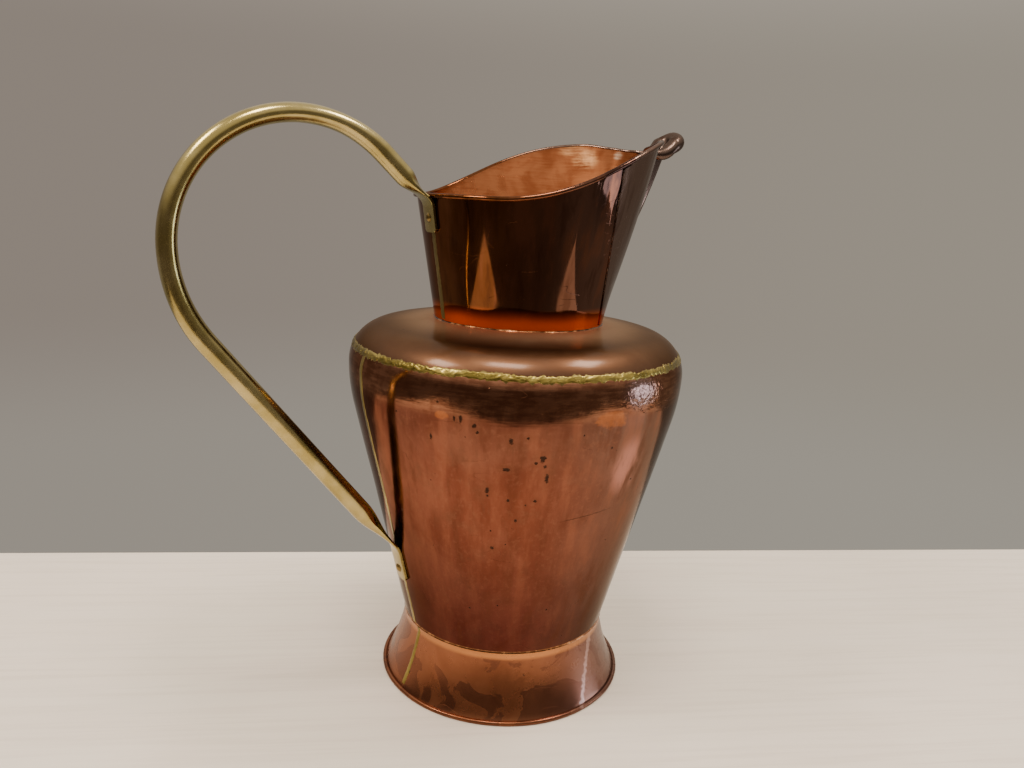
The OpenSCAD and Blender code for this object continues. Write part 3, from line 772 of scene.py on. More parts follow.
def strip(name, rows, place, node):
    """A thin strip laid on a face: place(across, up) takes shares from -1 to 1 and 0 to 1."""
    def spot(turn, ring):
        return place(2 * turn / STRIP_ACROSS - 1, ring / (rows - 1))
    piece = drawn(name, STRIP_TURNS, rows, spot, set(range(STRIP_ACROSS + 1)))
    editing(piece)
    bpy.ops.mesh.normals_make_consistent(inside=False)
    modified(piece, "SOLIDIFY", thickness=SEAM_BRAZE_T / 2, offset=0)
    tidied(piece)
    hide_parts(node)
    return piece


def strip_lift(share, middle):
    """How far a strip stands off its face beside a place on its middle line."""
    crown = STRIP_CROWN * math.sqrt(max(1 - share * share, 0)) - STRIP_SINK
    lumps = 1 + 0.5 * wander(middle + Vector((0, share / 50, 0)), 4 * MM, 1)
    return SEAM_BRAZE_T * crown * lumps


def strip_half(share, middle, wide, calm):
    """Half a strip's width: wide is a share of the seam's, and a calm edge strays less."""
    return SEAM_BRAZE_W / 2 * (wide + seam_edge(middle, 1 if share > 0 else -1) / calm)


def up_a_face(outline, turn_deg, wide, calm):
    """The places of a strip up a turned face at the back of the can, turned from its middle."""
    def place(share, up):
        p = outline[round(up * (len(outline) - 1))]
        middle = Vector((-p.x, 0, p.y))
        a = math.radians(180 + turn_deg) + strip_half(share, middle, wide, calm) * share / p.x
        out = Vector((math.cos(a), math.sin(a), 0))
        spot = Vector((p.x * math.cos(a), p.x * math.sin(a), p.y))
        return spot + out * dent(spot) + out * strip_lift(share, middle)
    return place


def make_body_seam():
    top = SEAM_ANGLE - math.degrees(SHOULDER_BRAZE_W / 2 / CORNER_R)
    outline = (line(taper_point(FOOT_LAP + FILLET), taper_point(TAPER_LEN), 80)
               + arc(SWELL_C, SWELL_R, TAPER_A, 0, 20)[1:] + arc(CORNER_C, CORNER_R, 0, top, 10)[1:])
    return strip("body_seam", len(outline), up_a_face(outline, 0, 1.1, 2), "body_seam_braze")


def make_foot_seam():
    outline = [flare_point(k / 40) for k in range(3, 41)] + [taper_point(FOOT_LAP, -FOOT_SHEET)]
    place = up_a_face(outline, FOOT_SEAM_TURN, 0.85, 3)
    return strip("foot_seam", len(outline), place, "foot_seam_braze")


NECK_SEAM_ROWS = 90


def make_neck_seam():
    def place(share, up):
        t = mix(0.02, 0.97, up)
        middle = Vector((-NECK_FOOT_R, 0, mix(NECK_FOOT_Z, roll_z(BACK_STATION), t)))
        n = along(180 + math.degrees(strip_half(share, middle, 1.15, 2) * share / MOUTH_R))
        return wall_point((BACK_C + MOUTH_R * n, n), t, strip_lift(share, middle))
    return strip("neck_seam", NECK_SEAM_ROWS, place, "neck_seam_braze")


# Materials
SEED_WAY = (1, 1.7, 2.3)
COAT_ROUGH = 0.16
WHITE = (1, 1, 1, 1)


class Field:
    """A node's output, so that Python's signs can do the sums."""

    def __init__(self, paint, socket):
        self.paint = paint
        self.socket = socket

    def __add__(self, other):
        return self.paint.sum("ADD", self, other)

    def __sub__(self, other):
        return self.paint.sum("SUBTRACT", self, other)

    def __rsub__(self, other):
        return self.paint.sum("SUBTRACT", other, self)

    def __mul__(self, other):
        return self.paint.sum("MULTIPLY", self, other)

    def __pow__(self, other):
        return self.paint.sum("POWER", self, other)

    def __abs__(self):
        return self.paint.sum("ABSOLUTE", self)

    __radd__ = __add__
    __rmul__ = __mul__


class Paint:
    """One material in the making, painted in the piece's own coordinates, which are the can's."""

    def __init__(self, name):
        self.material = bpy.data.materials.new(name)
        self.material.use_nodes = True
        self.tree = self.material.node_tree
        self.tree.nodes.clear()
        self.here = self.add("TexCoord", out="Object")
        self.x, self.y, self.z = self.split(self.here)

    def add(self, kind, settings=None, inputs=None, out=0):
        node = self.tree.nodes.new("ShaderNode" + kind)
        for name, value in (settings or {}).items():
            setattr(node, name, value)
        for name, value in (inputs or {}).items():
            self.feed(node.inputs[name], value)
        return Field(self, node.outputs[out])

    def split(self, vector):
        x = self.add("SeparateXYZ", inputs={0: vector})
        return [Field(self, output) for output in x.socket.node.outputs]

    def feed(self, socket, value):
        if isinstance(value, Field):
            self.tree.links.new(value.socket, socket)
        else:
            socket.default_value = value

    def sum(self, kind, *values):
        return self.add("Math", {"operation": kind}, dict(enumerate(values)))

    def vector(self, kind, a, b):
        return self.add("VectorMath", {"operation": kind}, {0: a, 1: b})

    def ramp(self, value, low, high):
        """0 below low, 1 above high and smooth between."""
        return self.add("MapRange", {"interpolation_type": "SMOOTHSTEP"},
                        {0: value, 1: low, 2: high})

    def mix(self, share, a, b, how="MIX"):
        return self.add("Mix", {"data_type": "RGBA", "blend_type": how}, {0: share, 6: a, 7: b}, out=2)

    def shifted(self, size, stretch, seed):
        """The piece's coordinates in steps of a size, moved so that each seed gives its own."""
        scaled = self.vector("MULTIPLY", self.here, [1 / size / k for k in stretch])
        return self.vector("ADD", scaled, [seed * k for k in SEED_WAY])

    def noise(self, size, detail=3, rough=0.5, warp=0.0, stretch=(1, 1, 1), seed=0):
        """Clouds of a size in metres, longer along an axis by its stretch. Mostly 0.3 to 0.7."""
        return self.add("TexNoise", inputs={
            "Vector": self.shifted(size, stretch, seed), "Scale": 1, "Detail": detail,
            "Roughness": rough, "Distortion": warp})

    def cells(self, size, out="Distance", seed=0, settings=None):
        """A net of cells of a size in metres."""
        moved = self.shifted(size, (1, 1, 1), seed)
        return self.add("TexVoronoi", settings, {"Vector": moved, "Scale": 1}, out=out)

    def hairs(self, size, width, stretch, seed):
        """Thin long lines where a stretched cloud crosses its middle value."""
        cloud = self.noise(size, detail=2, rough=0.5, stretch=stretch, seed=seed)
        return 1 - self.ramp(abs(cloud - 0.5), 0.0, width)

    def away(self, place, wide, tall):
        """Distance from a place: 1 at the given half sizes."""
        gap = self.vector("SUBTRACT", self.here, place)
        flat = self.vector("MULTIPLY", gap, (1 / wide, 1 / wide, 1 / tall))
        return self.add("VectorMath", {"operation": "LENGTH"}, {0: flat}, out="Value")

    def spot(self, place, wide, tall):
        """A soft patch of the given half sizes round a place: 1 in its middle, 0 outside."""
        return 1 - self.ramp(self.away(place, wide, tall), 0.35, 1.0)

    def finish(self, colour, metal, rough, bumps, coat=0.0, edge=WHITE):
        """Bumps are (height, depth in metres) pairs, added up. Edge tints the grazing gloss."""
        shell = self.add("BsdfPrincipled", inputs={
            "Base Color": colour, "Metallic": metal, "Roughness": rough, "Coat Weight": coat,
            "Coat Roughness": COAT_ROUGH, "Specular Tint": edge})
        relief = sum(height * depth for height, depth in bumps)
        normal = self.add("Bump", inputs={"Height": relief, "Distance": 1.0, "Strength": 1.0})
        self.feed(shell.socket.node.inputs["Normal"], normal)
        output = self.tree.nodes.new("ShaderNodeOutputMaterial")
        self.tree.links.new(shell.socket, output.inputs["Surface"])
        return self.material


def tone(r, g, b):
    return (r, g, b, 1.0)


BLACKENED = tone(0.045, 0.020, 0.012)
PIT_BROWN = tone(0.030, 0.014, 0.008)
HAIRLINE = 0.0011
EMBER = tone(0.62, 0.19, 0.045)
FOOT_SHADE = tone(0.42, 0.33, 0.38)
HIGH_SHADE = tone(0.80, 0.88, 0.92)
LEFT_SHADE = tone(0.78, 0.72, 0.74)
SIDE_BROWN = tone(0.135, 0.088, 0.070)
WIPED_BRIGHT = tone(0.29, 0.105, 0.060)
WIPED_DARK = tone(0.085, 0.027, 0.014)
BLOOM = tone(0.25, 0.105, 0.065)
BELLY_BROWN = tone(0.20, 0.080, 0.044)
BELLY_TAN = tone(0.36, 0.165, 0.095)
PIT_HALO = tone(0.12, 0.045, 0.025)
# Colour of the painted pink highlight on the body's right
PAINTED_PINK_HIGHLIGHT = tone(0.48, 0.22, 0.18)
WORN_GREY = tone(0.26, 0.180, 0.175)
# Painted lighter tone for the shoulder near the neck
SHOULDER_PAINTED_LIGHT = tone(0.38, 0.240, 0.145)
FOOT_SIDE = tone(0.150, 0.088, 0.074)
FOOT_SCALE = tone(0.115, 0.044, 0.030)
# Colour of the painted highlight streak on the foot
FOOT_PAINTED_HIGHLIGHT = tone(0.62, 0.42, 0.38)
# Colour of the painted glow along the top of the foot
FOOT_GLOW = tone(0.62, 0.27, 0.10)
FOOT_EDGE_DARK = tone(0.12, 0.045, 0.022)
RIM_SHADE = tone(0.036, 0.020, 0.018)
LIP_BROWN = tone(0.085, 0.060, 0.050)
BAND_LIGHT = tone(0.23, 0.080, 0.040)
BAND_DARK = tone(0.050, 0.018, 0.010)
# Colour of the painted glow at the neck's foot, where it reflects the lit shoulder
NECK_PAINTED_GLOW = tone(0.95, 0.17, 0.034)
MOUTH_DEEP = tone(0.32, 0.096, 0.036)
MOUTH_LIGHT = tone(0.45, 0.165, 0.068)
# Colours of the painted highlight and the painted glint inside the mouth
MOUTH_PAINTED_HIGHLIGHT = tone(0.96, 0.50, 0.23)
MOUTH_GLINT = tone(1.0, 0.80, 0.60)
BRASS_SOOT = tone(0.09, 0.06, 0.02)
WIRE_GREY = tone(0.30, 0.28, 0.26)
WIRE_RUST = tone(0.13, 0.05, 0.02)
LIME = tone(0.96, 0.86, 0.755)
LIME_PALE = tone(0.98, 0.90, 0.80)
LIME_GREY = tone(0.80, 0.69, 0.60)
WOOD_GRAIN = tone(0.70, 0.60, 0.51)
WALL_LEFT = tone(0.272, 0.230, 0.194)
WALL_RIGHT = tone(0.332, 0.294, 0.242)
WALL_LOW = tone(0.385, 0.362, 0.312)
ROOM_BEHIND = tone(0.150, 0.120, 0.098)
CEILING = tone(1.0, 0.89, 0.75)
NECK_EDGE = tone(0.64, 0.60, 0.58)


# Pits, as shares of their net's cells
PIT_LARGEST = 0.20
PIT_RAGGED = 0.25
PIT_CORE = 0.6
PIT_EDGE = 0.002


def pitted(paint, size, share, seed):
    """Pits: one in some cells of a net, each a ragged dot."""
    ragged = paint.noise(size / 5, detail=2, seed=seed) - 0.5
    gap = paint.cells(size, seed=seed) + ragged * PIT_RAGGED
    pick = paint.cells(size, out="Color", seed=seed)
    chosen = paint.add("SeparateColor", inputs={0: pick})
    radius = paint.ramp(chosen, 1 - share, 1.0) * PIT_LARGEST
    return 1 - paint.ramp(gap, radius * PIT_CORE, radius + PIT_EDGE)


def copper(name, light, deep, dull, shine, pits=0.06, hammer=0.0, wipes=1.0, rings=0.0, marks=None,
           edge=WHITE, coat=0.0):
    """Old polished copper: warm clouds, upright wipes from polishing cloths, pits and hairlines."""
    paint = Paint(name)
    clouds = paint.noise(75 * MM, detail=5, rough=0.58, warp=0.6, seed=1)
    patches = paint.noise(28 * MM, detail=6, rough=0.62, seed=4)
    strokes = paint.noise(10 * MM, detail=4, rough=0.6, stretch=(1, 1, 11), seed=2)
    streaks = paint.noise(2.8 * MM, detail=3, rough=0.6, stretch=(1, 1, 26), seed=3)
    colour = paint.mix(paint.ramp(clouds, 0.38, 0.64), deep, light)
    colour = paint.mix(paint.ramp(patches, 0.50, 0.72) * 0.55, colour, dull)
    colour = paint.mix(paint.ramp(strokes, 0.52, 0.70) * 0.35 * wipes, colour, light)
    colour = paint.mix(paint.ramp(streaks, 0.55, 0.72) * 0.22 * wipes, colour, dull)
    pit = pitted(paint, 0.017, pits, 5)
    speck = pitted(paint, 0.0055, pits * 0.8, 9)
    dirt = paint.sum("MAXIMUM", pit, speck)
    scratch = paint.hairs(55 * MM, HAIRLINE, (1.6, 1.6, 0.55), 6)
    scratch_here = scratch * paint.ramp(paint.noise(30 * MM, seed=8), 0.52, 0.62)
    rough = shine + (patches - 0.5) * 0.16 + (strokes - 0.5) * 0.16 * wipes + scratch_here * 0.15
    relief = streaks * (0.02 * MM * wipes) - scratch_here * (0.04 * MM)
    if rings:
        relief = relief + paint.noise(16 * MM, detail=2, stretch=(2.2, 2.2, 0.35), seed=12) * rings
    if hammer:
        relief = relief + paint.cells(11 * MM, settings={"feature": "SMOOTH_F1"}, seed=15) * hammer
    if marks:
        colour, rough, dirt, relief = marks(paint, colour, rough, dirt, relief)
    colour = paint.mix(dirt * 0.9, colour, PIT_BROWN)
    colour = paint.mix(scratch_here * 0.30, colour, BLACKENED)
    return paint.finish(colour, 1 - dirt * 0.25, rough + dirt * 0.35,
                        [(relief, 1.0), (1 - dirt, 0.3 * MM)], coat=coat, edge=edge)


def place_at(angle, height, radius):
    """A place on the can from its angle in degrees, its height and its radius in mm."""
    way = along(angle)
    return (way.x * radius * MM, way.y * radius * MM, height * MM)


def across(paint):
    """How far right a place lies as the photograph sees it, in metres from the can's axis."""
    return paint.x * math.cos(CAN_TURN) - paint.y * math.sin(CAN_TURN)


# Marks on the body: angle and height of each, then its half width and half height, in mm
FRONT_PITS = [
    (-113, 247, 3.0, 3.4), (-111, 230, 2.0, 6.0), (-112, 240, 1.8, 1.8), (-115, 243, 1.4, 1.4),
    (-124, 237, 3.4, 1.8), (-123, 261, 1.8, 3.0), (-118, 264, 1.4, 1.4), (-138, 275, 1.6, 4.0),
    (-140, 275, 1.3, 3.4), (-134, 271, 1.8, 2.4), (-133, 266, 1.5, 1.5), (-148, 258, 1.2, 4.4),
    (-130, 218, 2.2, 3.4), (-130, 213, 1.2, 1.2), (-123, 210, 1.3, 1.3), (-114, 210, 1.6, 1.6),
    (-120, 192, 1.5, 1.5), (-128, 165, 1.8, 1.8), (-117, 206, 1.0, 1.0)]
HEAT_STAINS = [(-92, 276, 24, 12), (-144, 276, 10, 6)]
BELLY_MM = 147
TAPER_TOP_MM = 275
TAPER_SLOPE = 0.242
# Patches: angle, height, radius, half width and half height, in mm
BEATEN = (-79, 295, 147, 36, 22)
# Where the painted pink highlight lies
PINK_HIGHLIGHT_SPOT = (-80, 234, 136, 22, 34)
WORN = (-81, 295, 145, 24, 17)


def patch(paint, angle, height, radius, wide, tall):
    return paint.spot(place_at(angle, height, radius), wide * MM, tall * MM)


def body_marks(paint, colour, rough, dirt, relief):
    """Painted shade makes it redder and darker toward the foot, and darker high up and on the left.
    Browner to the right and round the belly, with the front's larger pits, heat stains, a painted pink
    highlight and one long scratch."""
    right = across(paint)
    low = 1 - paint.ramp(paint.z, 65 * MM, 215 * MM)
    high = paint.ramp(paint.z, 205 * MM, 272 * MM)
    belly = paint.ramp(paint.z, 272 * MM, 286 * MM)
    # Painted shade: darker and redder toward the foot and darker high up, for the darker reflections
    # there
    colour = paint.mix(low, colour, FOOT_SHADE, "MULTIPLY")
    colour = paint.mix(high, colour, HIGH_SHADE, "MULTIPLY")
    colour = paint.mix(paint.ramp(right, 10 * MM, 120 * MM) * 0.7, colour, SIDE_BROWN)
    # Painted shade high up on the left
    left = (1 - paint.ramp(right, -85 * MM, -45 * MM)) * high
    colour = paint.mix(left, colour, LEFT_SHADE, "MULTIPLY")
    wiped = paint.noise(15 * MM, detail=4, rough=0.6, stretch=(1, 1, 10), seed=29)
    colour = paint.mix(paint.ramp(wiped, 0.46, 0.70) * (1 - low * 0.75) * 0.35, colour, WIPED_BRIGHT)
    colour = paint.mix((1 - paint.ramp(wiped, 0.34, 0.48)) * 0.40, colour, WIPED_DARK)
    fine = paint.noise(4 * MM, detail=5, rough=0.7, seed=27)
    colour = paint.mix(paint.ramp(fine, 0.50, 0.68) * (1 - low * 0.7) * 0.22, colour, BLOOM)
    lines = paint.noise(2.2 * MM, detail=4, rough=0.65, stretch=(10, 10, 1), seed=23)
    mottle = paint.noise(11 * MM, detail=5, rough=0.65, seed=24)
    brown = paint.mix(paint.ramp(lines * 0.5 + mottle * 0.5, 0.42, 0.60), BELLY_BROWN,
                      BELLY_TAN)
    colour = paint.mix(belly * 0.85, colour, brown)
    blow = paint.noise(4.2 * MM, detail=3, rough=0.5, seed=25)
    beaten = patch(paint, *BEATEN) + 0.06 * belly
    relief = relief + lines * belly * (0.05 * MM) + blow * beaten * (0.8 * MM)
    ragged = paint.noise(2.2 * MM, detail=3, rough=0.6, seed=26) - 0.5
    near = None
    for angle, height, wide, tall in FRONT_PITS:
        radius = BELLY_MM - max(0, TAPER_TOP_MM - height) * TAPER_SLOPE
        gap = paint.away(place_at(angle, height, radius), wide * MM, tall * MM)
        near = paint.sum("MINIMUM", near, gap) if near else gap
    dirt = paint.sum("MAXIMUM", dirt, 1 - paint.ramp(near + ragged * 1.6, 0.45, 0.95))
    colour = paint.mix((1 - paint.ramp(near, 0.6, 3.2)) * 0.35, colour, PIT_HALO)
    frayed = paint.noise(10 * MM, detail=6, rough=0.7, seed=21)
    for angle, height, wide, tall in HEAT_STAINS:
        stain = patch(paint, angle, height, BELLY_MM, wide, tall)
        colour = paint.mix(paint.ramp(stain + (frayed - 0.5) * 2, 0.55, 1.0) * 0.26, colour, EMBER)
    # Painted pink highlight on the body's right, streaked like the wipes
    highlight_patch = patch(paint, *PINK_HIGHLIGHT_SPOT) * paint.ramp(wiped, 0.36, 0.56)
    colour = paint.mix(highlight_patch * 0.65, colour, PAINTED_PINK_HIGHLIGHT)
    worn = patch(paint, *WORN)
    colour = paint.mix(worn * 0.6, colour, WORN_GREY)
    way = abs(paint.z - 184.5 * MM - right * 0.13 + ragged * (2 * MM))
    cut = (1 - paint.ramp(way, 0.0, 0.6 * MM)) * paint.ramp(right, 36 * MM, 50 * MM) * (
        1 - paint.ramp(right, 76 * MM, 86 * MM))
    colour = paint.mix(cut * 0.7, colour, BLACKENED)
    return colour, rough, dirt, relief - cut * (0.1 * MM)


def shoulder_marks(paint, colour, rough, dirt, relief):
    """Duller and rougher toward the neck, and painted lighter there over the neck's dark reflection."""
    smear = paint.noise(20 * MM, detail=4, rough=0.6, stretch=(3, 3, 1), seed=28)
    # Painted light near the neck: a lighter tone that fills in the neck's dark reflection there
    dull = paint.ramp(paint.z, 325 * MM, 330 * MM)
    colour = paint.mix(dull * 0.9, colour, SHOULDER_PAINTED_LIGHT)
    return colour, rough + dull * 0.12, dirt, relief + smear * (0.06 * MM)


def foot_marks(paint, colour, rough, dirt, relief):
    """Dark scale that the polish has left in ragged islands, a painted pale highlight streak on the
    right and a painted glow along the top.
    """
    scale = paint.noise(30 * MM, detail=4, rough=0.5, warp=0.8, stretch=(1.3, 1.3, 1), seed=31)
    island = paint.ramp(scale, 0.53, 0.555)
    right = across(paint)
    colour = paint.mix(paint.ramp(right, 20 * MM, 90 * MM) * 0.75, colour, FOOT_SIDE)
    colour = paint.mix(island * 0.5, colour, FOOT_SCALE)
    # Painted pale highlight streak on the right, where the cool light reflects
    edge = paint.noise(4 * MM, detail=3, seed=33) - 0.5
    way = abs(right - 74.5 * MM + edge * (6 * MM) - paint.z * 0.10)
    highlight_streak = 1 - paint.ramp(way, 0.6 * MM, 2.4 * MM)
    highlight_streak = highlight_streak * (1 - paint.ramp(paint.y, -40 * MM, -20 * MM))
    colour = paint.mix(highlight_streak * 0.4, colour, FOOT_PAINTED_HIGHLIGHT)
    # Painted glow along the top of the foot, under the joint
    colour = paint.mix(paint.ramp(paint.z, 49 * MM, 53 * MM) * 0.7, colour, FOOT_GLOW)
    colour = paint.mix((1 - paint.ramp(paint.z, 2 * MM, 4.5 * MM)) * 0.6, colour, FOOT_EDGE_DARK)
    return colour, rough - island * 0.04, dirt, relief + scale * (0.2 * MM)


def rim_height(paint, lower):
    """The rim's height over a place, as rim_z has it, lowered by a share of its roll."""
    climb = paint.ramp(paint.x, RIM_LOW_X, RIM_HIGH_X)
    dip = paint.ramp(paint.x, THROAT_X - DIP_RUN, THROAT_X)
    nose = paint.add("MapRange", inputs={0: paint.x, 1: RIM_NOSE_X, 2: SPOUT_REACH}) ** RIM_NOSE_CURVE
    lip = paint.ramp(paint.x, SPOUT_REACH - LIP_FADE, SPOUT_REACH)
    top = climb * (RIM_SIDE_Z - RIM_BACK_Z) - dip * (RIM_SIDE_Z - RIM_THROAT_Z) + nose * (
        RIM_FRONT_Z - RIM_THROAT_Z)
    return top - lip * (LIP_R * 2 - RIM_ROLL_R) + (RIM_BACK_Z - RIM_ROLL_R * lower)


# Places inside the mouth of the painted highlights and the painted glint, in metres
INSIDE_HIGHLIGHT_HIGH = (0.0915, 0.0625, 0.4830)
INSIDE_HIGHLIGHT_LOW = (0.1004, 0.0491, 0.4740)
GLINT_PLACE = (0.114, 0.018, 0.478)


def neck_marks(side, shade, satin):
    """The outside is a brown mirror that turns to the side tone on the right, with painted shade below
    the rim there and a painted amber glow near its foot, where it reflects the shoulder. The inside is
    duller and brushed round, painted brighter for the light bounced inside it, with painted pale
    highlights and a painted glint at the front."""
    def marks(paint, colour, rough, dirt, relief):
        normal = paint.add("NewGeometry", out="Normal")
        out = paint.vector("MULTIPLY", paint.here, (1, 1, 0))
        facing = paint.add("VectorMath", {"operation": "DOT_PRODUCT"}, {0: normal, 1: out}, out="Value")
        below = 1 - paint.ramp(paint.z - rim_height(paint, 1.0), -0.5 * MM, 0.5 * MM)
        inside = (1 - paint.ramp(facing, -0.035, -0.015)) * below
        right = across(paint)
        colour = paint.mix(paint.ramp(right, -30 * MM, 50 * MM) * 0.9, colour, side)
        # Painted shade on the right below the rim, darkening the cool light's reflection there
        shaded = paint.ramp(right, 45 * MM, 65 * MM) * paint.ramp(paint.z, 400 * MM, 440 * MM)
        colour = paint.mix(shaded * shade, colour, RIM_SHADE)
        lip = paint.ramp(paint.x, 122 * MM, 142 * MM)
        colour = paint.mix(lip * 0.85, colour, LIP_BROWN)
        bands = paint.noise(11 * MM, detail=4, rough=0.6, stretch=(1, 1, 14), seed=45)
        colour = paint.mix(paint.ramp(bands, 0.48, 0.66) * shade * 0.6, colour, BAND_LIGHT)
        colour = paint.mix((1 - paint.ramp(bands, 0.32, 0.46)) * 0.45, colour, BAND_DARK)
        # Painted amber glow near the neck's foot, where it reflects the lit shoulder
        base = 1 - paint.ramp(paint.z, 338 * MM, 350 * MM)
        colour = paint.mix(base * 0.9, colour, NECK_PAINTED_GLOW)
        brush = paint.noise(1.6 * MM, detail=3, rough=0.6, stretch=(12, 12, 1), seed=42)
        blotch = paint.noise(20 * MM, detail=4, warp=0.5, seed=41)
        # The inside is painted lighter than the outside for the light bounced inside the mouth; its
        # duller, brushed finish is its own
        lit_inside = paint.mix(paint.ramp(blotch * 0.7 + brush * 0.3, 0.36, 0.62), MOUTH_DEEP,
                           MOUTH_LIGHT)
        # Painted pale highlights and a painted glint at the front of the inside
        highlight_patch = paint.sum("MAXIMUM", paint.spot(INSIDE_HIGHLIGHT_HIGH, 17 * MM, 9 * MM) * 0.7,
                           paint.spot(INSIDE_HIGHLIGHT_LOW, 17 * MM, 13 * MM))
        streaky = paint.ramp(blotch * 0.5 + brush * 0.5, 0.36, 0.62)
        lit_inside = paint.mix(highlight_patch * streaky, lit_inside, MOUTH_PAINTED_HIGHLIGHT)
        glint = paint.spot(GLINT_PLACE, 6 * MM, 5 * MM) * streaky
        lit_inside = paint.mix(glint * 0.6, lit_inside, MOUTH_GLINT)
        colour = paint.mix(inside, colour, lit_inside)
        rough = rough * (1 - inside) + inside * (0.27 + (blotch - 0.5) * 0.2) + (satin + lip * 0.12)
        waves = paint.noise(11 * MM, detail=2, stretch=(1, 1, 12), seed=44)
        waves = waves * paint.ramp(right, 20 * MM, 60 * MM)
        waves = waves * paint.ramp(paint.z, 370 * MM, 420 * MM) * (1 - inside)
        return colour, rough, dirt, relief + brush * inside * (0.03 * MM) + waves * (0.6 * MM)
    return marks


def brass(name, light, deep, shine, grain=(1, 1, 1), pits=0.05, relief=0.02 * MM, edges=None):
    """Handled brass with a fine grain, tarnished in the hollows, with small pits."""
    paint = Paint(name)
    clouds = paint.noise(30 * MM, detail=4, rough=0.6, seed=51)
    fine = paint.noise(1.2 * MM, detail=2, stretch=grain, seed=52)
    colour = paint.mix(paint.ramp(clouds, 0.38, 0.66), deep, light)
    tarnish = paint.noise(8 * MM, detail=5, rough=0.65, seed=53)
    colour = paint.mix(paint.ramp(tarnish, 0.58, 0.78) * 0.4, colour, deep)
    dirt = pitted(paint, 0.0065, pits, 55)
    # Where edges is given, it adds painted shade as well as soot, as on the shoulder seam
    if edges:
        dirt = paint.sum("MAXIMUM", dirt, edges(paint))
    colour = paint.mix(dirt * 0.85, colour, BRASS_SOOT)
    rough = shine + (tarnish - 0.5) * 0.18 + (fine - 0.5) * 0.08 + dirt * 0.3
    bumps = [(tarnish, relief), (fine, relief / 8), (1 - dirt, 0.2 * MM)]
    return paint.finish(colour, 1 - dirt * 0.5, rough, bumps)


def seam_shade_and_soot(paint):
    """Painted shade along the shoulder seam's two edges and dark soot in its cracks."""
    centre = CORNER_C + CORNER_R * along(SEAM_ANGLE)
    radius = (paint.x ** 2 + paint.y ** 2) ** 0.5
    away = ((radius - centre.x) ** 2 + (paint.z - centre.y) ** 2) ** 0.5
    ragged = paint.noise(4 * MM, detail=3, seed=61)
    edge = paint.ramp(away + (ragged - 0.5) * (1.6 * MM), 2.4 * MM, 3.3 * MM)
    crack = paint.hairs(6 * MM, 0.012, (1, 1, 1), 62)
    return paint.sum("MAXIMUM", edge * 0.8, crack * 0.5) * paint.ramp(paint.z, 290 * MM, 300 * MM)


def solder(name, deep, light):
    paint = Paint(name)
    clouds = paint.noise(6 * MM, detail=4, seed=71)
    colour = paint.mix(paint.ramp(clouds, 0.45, 0.65), deep, light)
    return paint.finish(colour, 1.0, 0.24 + (clouds - 0.5) * 0.3, [(clouds, 0.2 * MM)])


def wire_metal(name):
    paint = Paint(name)
    rust = paint.noise(4 * MM, detail=5, rough=0.7, seed=81)
    spread = paint.ramp(rust, 0.48, 0.62)
    colour = paint.mix(spread, WIRE_GREY, WIRE_RUST)
    return paint.finish(colour, 1 - spread, 0.4 + spread * 0.4, [(rust, 0.1 * MM)])


def limed_wood(name):
    """A pale board under a matt varnish, with faint grain across the picture."""
    paint = Paint(name)
    paint.here = paint.add("VectorRotate", {"rotation_type": "Z_AXIS"},
                           {0: paint.here, "Angle": -TABLE_TURN})
    grain = paint.noise(6 * MM, detail=5, rough=0.6, warp=0.4, stretch=(30, 1, 1), seed=91)
    broad = paint.noise(50 * MM, detail=3, stretch=(9, 1, 1), seed=92)
    clouds = paint.noise(200 * MM, detail=2, seed=93)
    colour = paint.mix(paint.ramp(grain, 0.44, 0.66) * 0.30, LIME,
                       WOOD_GRAIN)
    colour = paint.mix(paint.ramp(broad, 0.45, 0.65) * 0.35, colour, LIME_PALE)
    colour = paint.mix(paint.ramp(clouds, 0.40, 0.62) * 0.18, colour, LIME_GREY)
    return paint.finish(colour, 0.0, 0.42 + (grain - 0.5) * 0.2, [(grain, 0.12 * MM)])


def dress(piece, material, slot):
    piece.data.materials.clear()
    piece.data.materials.append(material)


def paint_cad(node, material):
    """A CAD node that stays gets the material in its own slots."""
    for k in range(len(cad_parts[node].material_slots)):
        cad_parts[node].material_slots[k].material = material


# The table, three warm lamps overhead, a cool light low on the right, and grey all round
def make_table():
    alone()
    middle = Matrix.Rotation(TABLE_TURN, 3, "Z") @ Vector((0, (TABLE_FRONT + TABLE_BACK) / 2, 0))
    bpy.ops.mesh.primitive_cube_add(size=1, location=middle - Vector((0, 0, TABLE_THICK / 2)))
    table = bpy.context.object
    table.name = "table"
    table.scale = (2 * TABLE_HALF, TABLE_BACK - TABLE_FRONT, TABLE_THICK)
    table.rotation_euler = (0, 0, TABLE_TURN)
    alone(table)
    bpy.ops.object.transform_apply(location=True, rotation=True, scale=True)
    modified(table, "BEVEL", width=0.0015, segments=3)
    table.data.materials.append(limed_wood("table_wood"))


def lamp(name, place, aim, size, watts, colour):
    light = bpy.data.lights.new(name, "AREA")
    light.shape = "RECTANGLE"
    light.size, light.size_y = size
    light.energy = watts
    light.color = colour
    thing = bpy.data.objects.new(name, light)
    bpy.context.scene.collection.objects.link(thing)
    thing.location = place
    thing.rotation_euler = (Vector(aim) - Vector(place)).to_track_quat("-Z", "Y").to_euler()


WARM = (1.0, 0.88, 0.74)
COOL = (0.80, 0.88, 1.0)
LAMP_WATTS = 12.0
LAMP_SIZE = (0.45, 0.30)
LAMPS = [("lamp_left", (-0.97, 0.22, 1.50)), ("lamp_middle", (-0.31, -0.31, 1.78)),
         ("lamp_right", (0.64, -0.33, 1.64))]
LAMP_AIM = (0, 0, 0.2)
SIDE_WATTS = 3.4
SIDE_SIZE = (0.50, 0.45)
SIDE_PLACE = (1.25, -0.83, 0.20)
SIDE_AIM = (0.1, -0.1, 0.25)


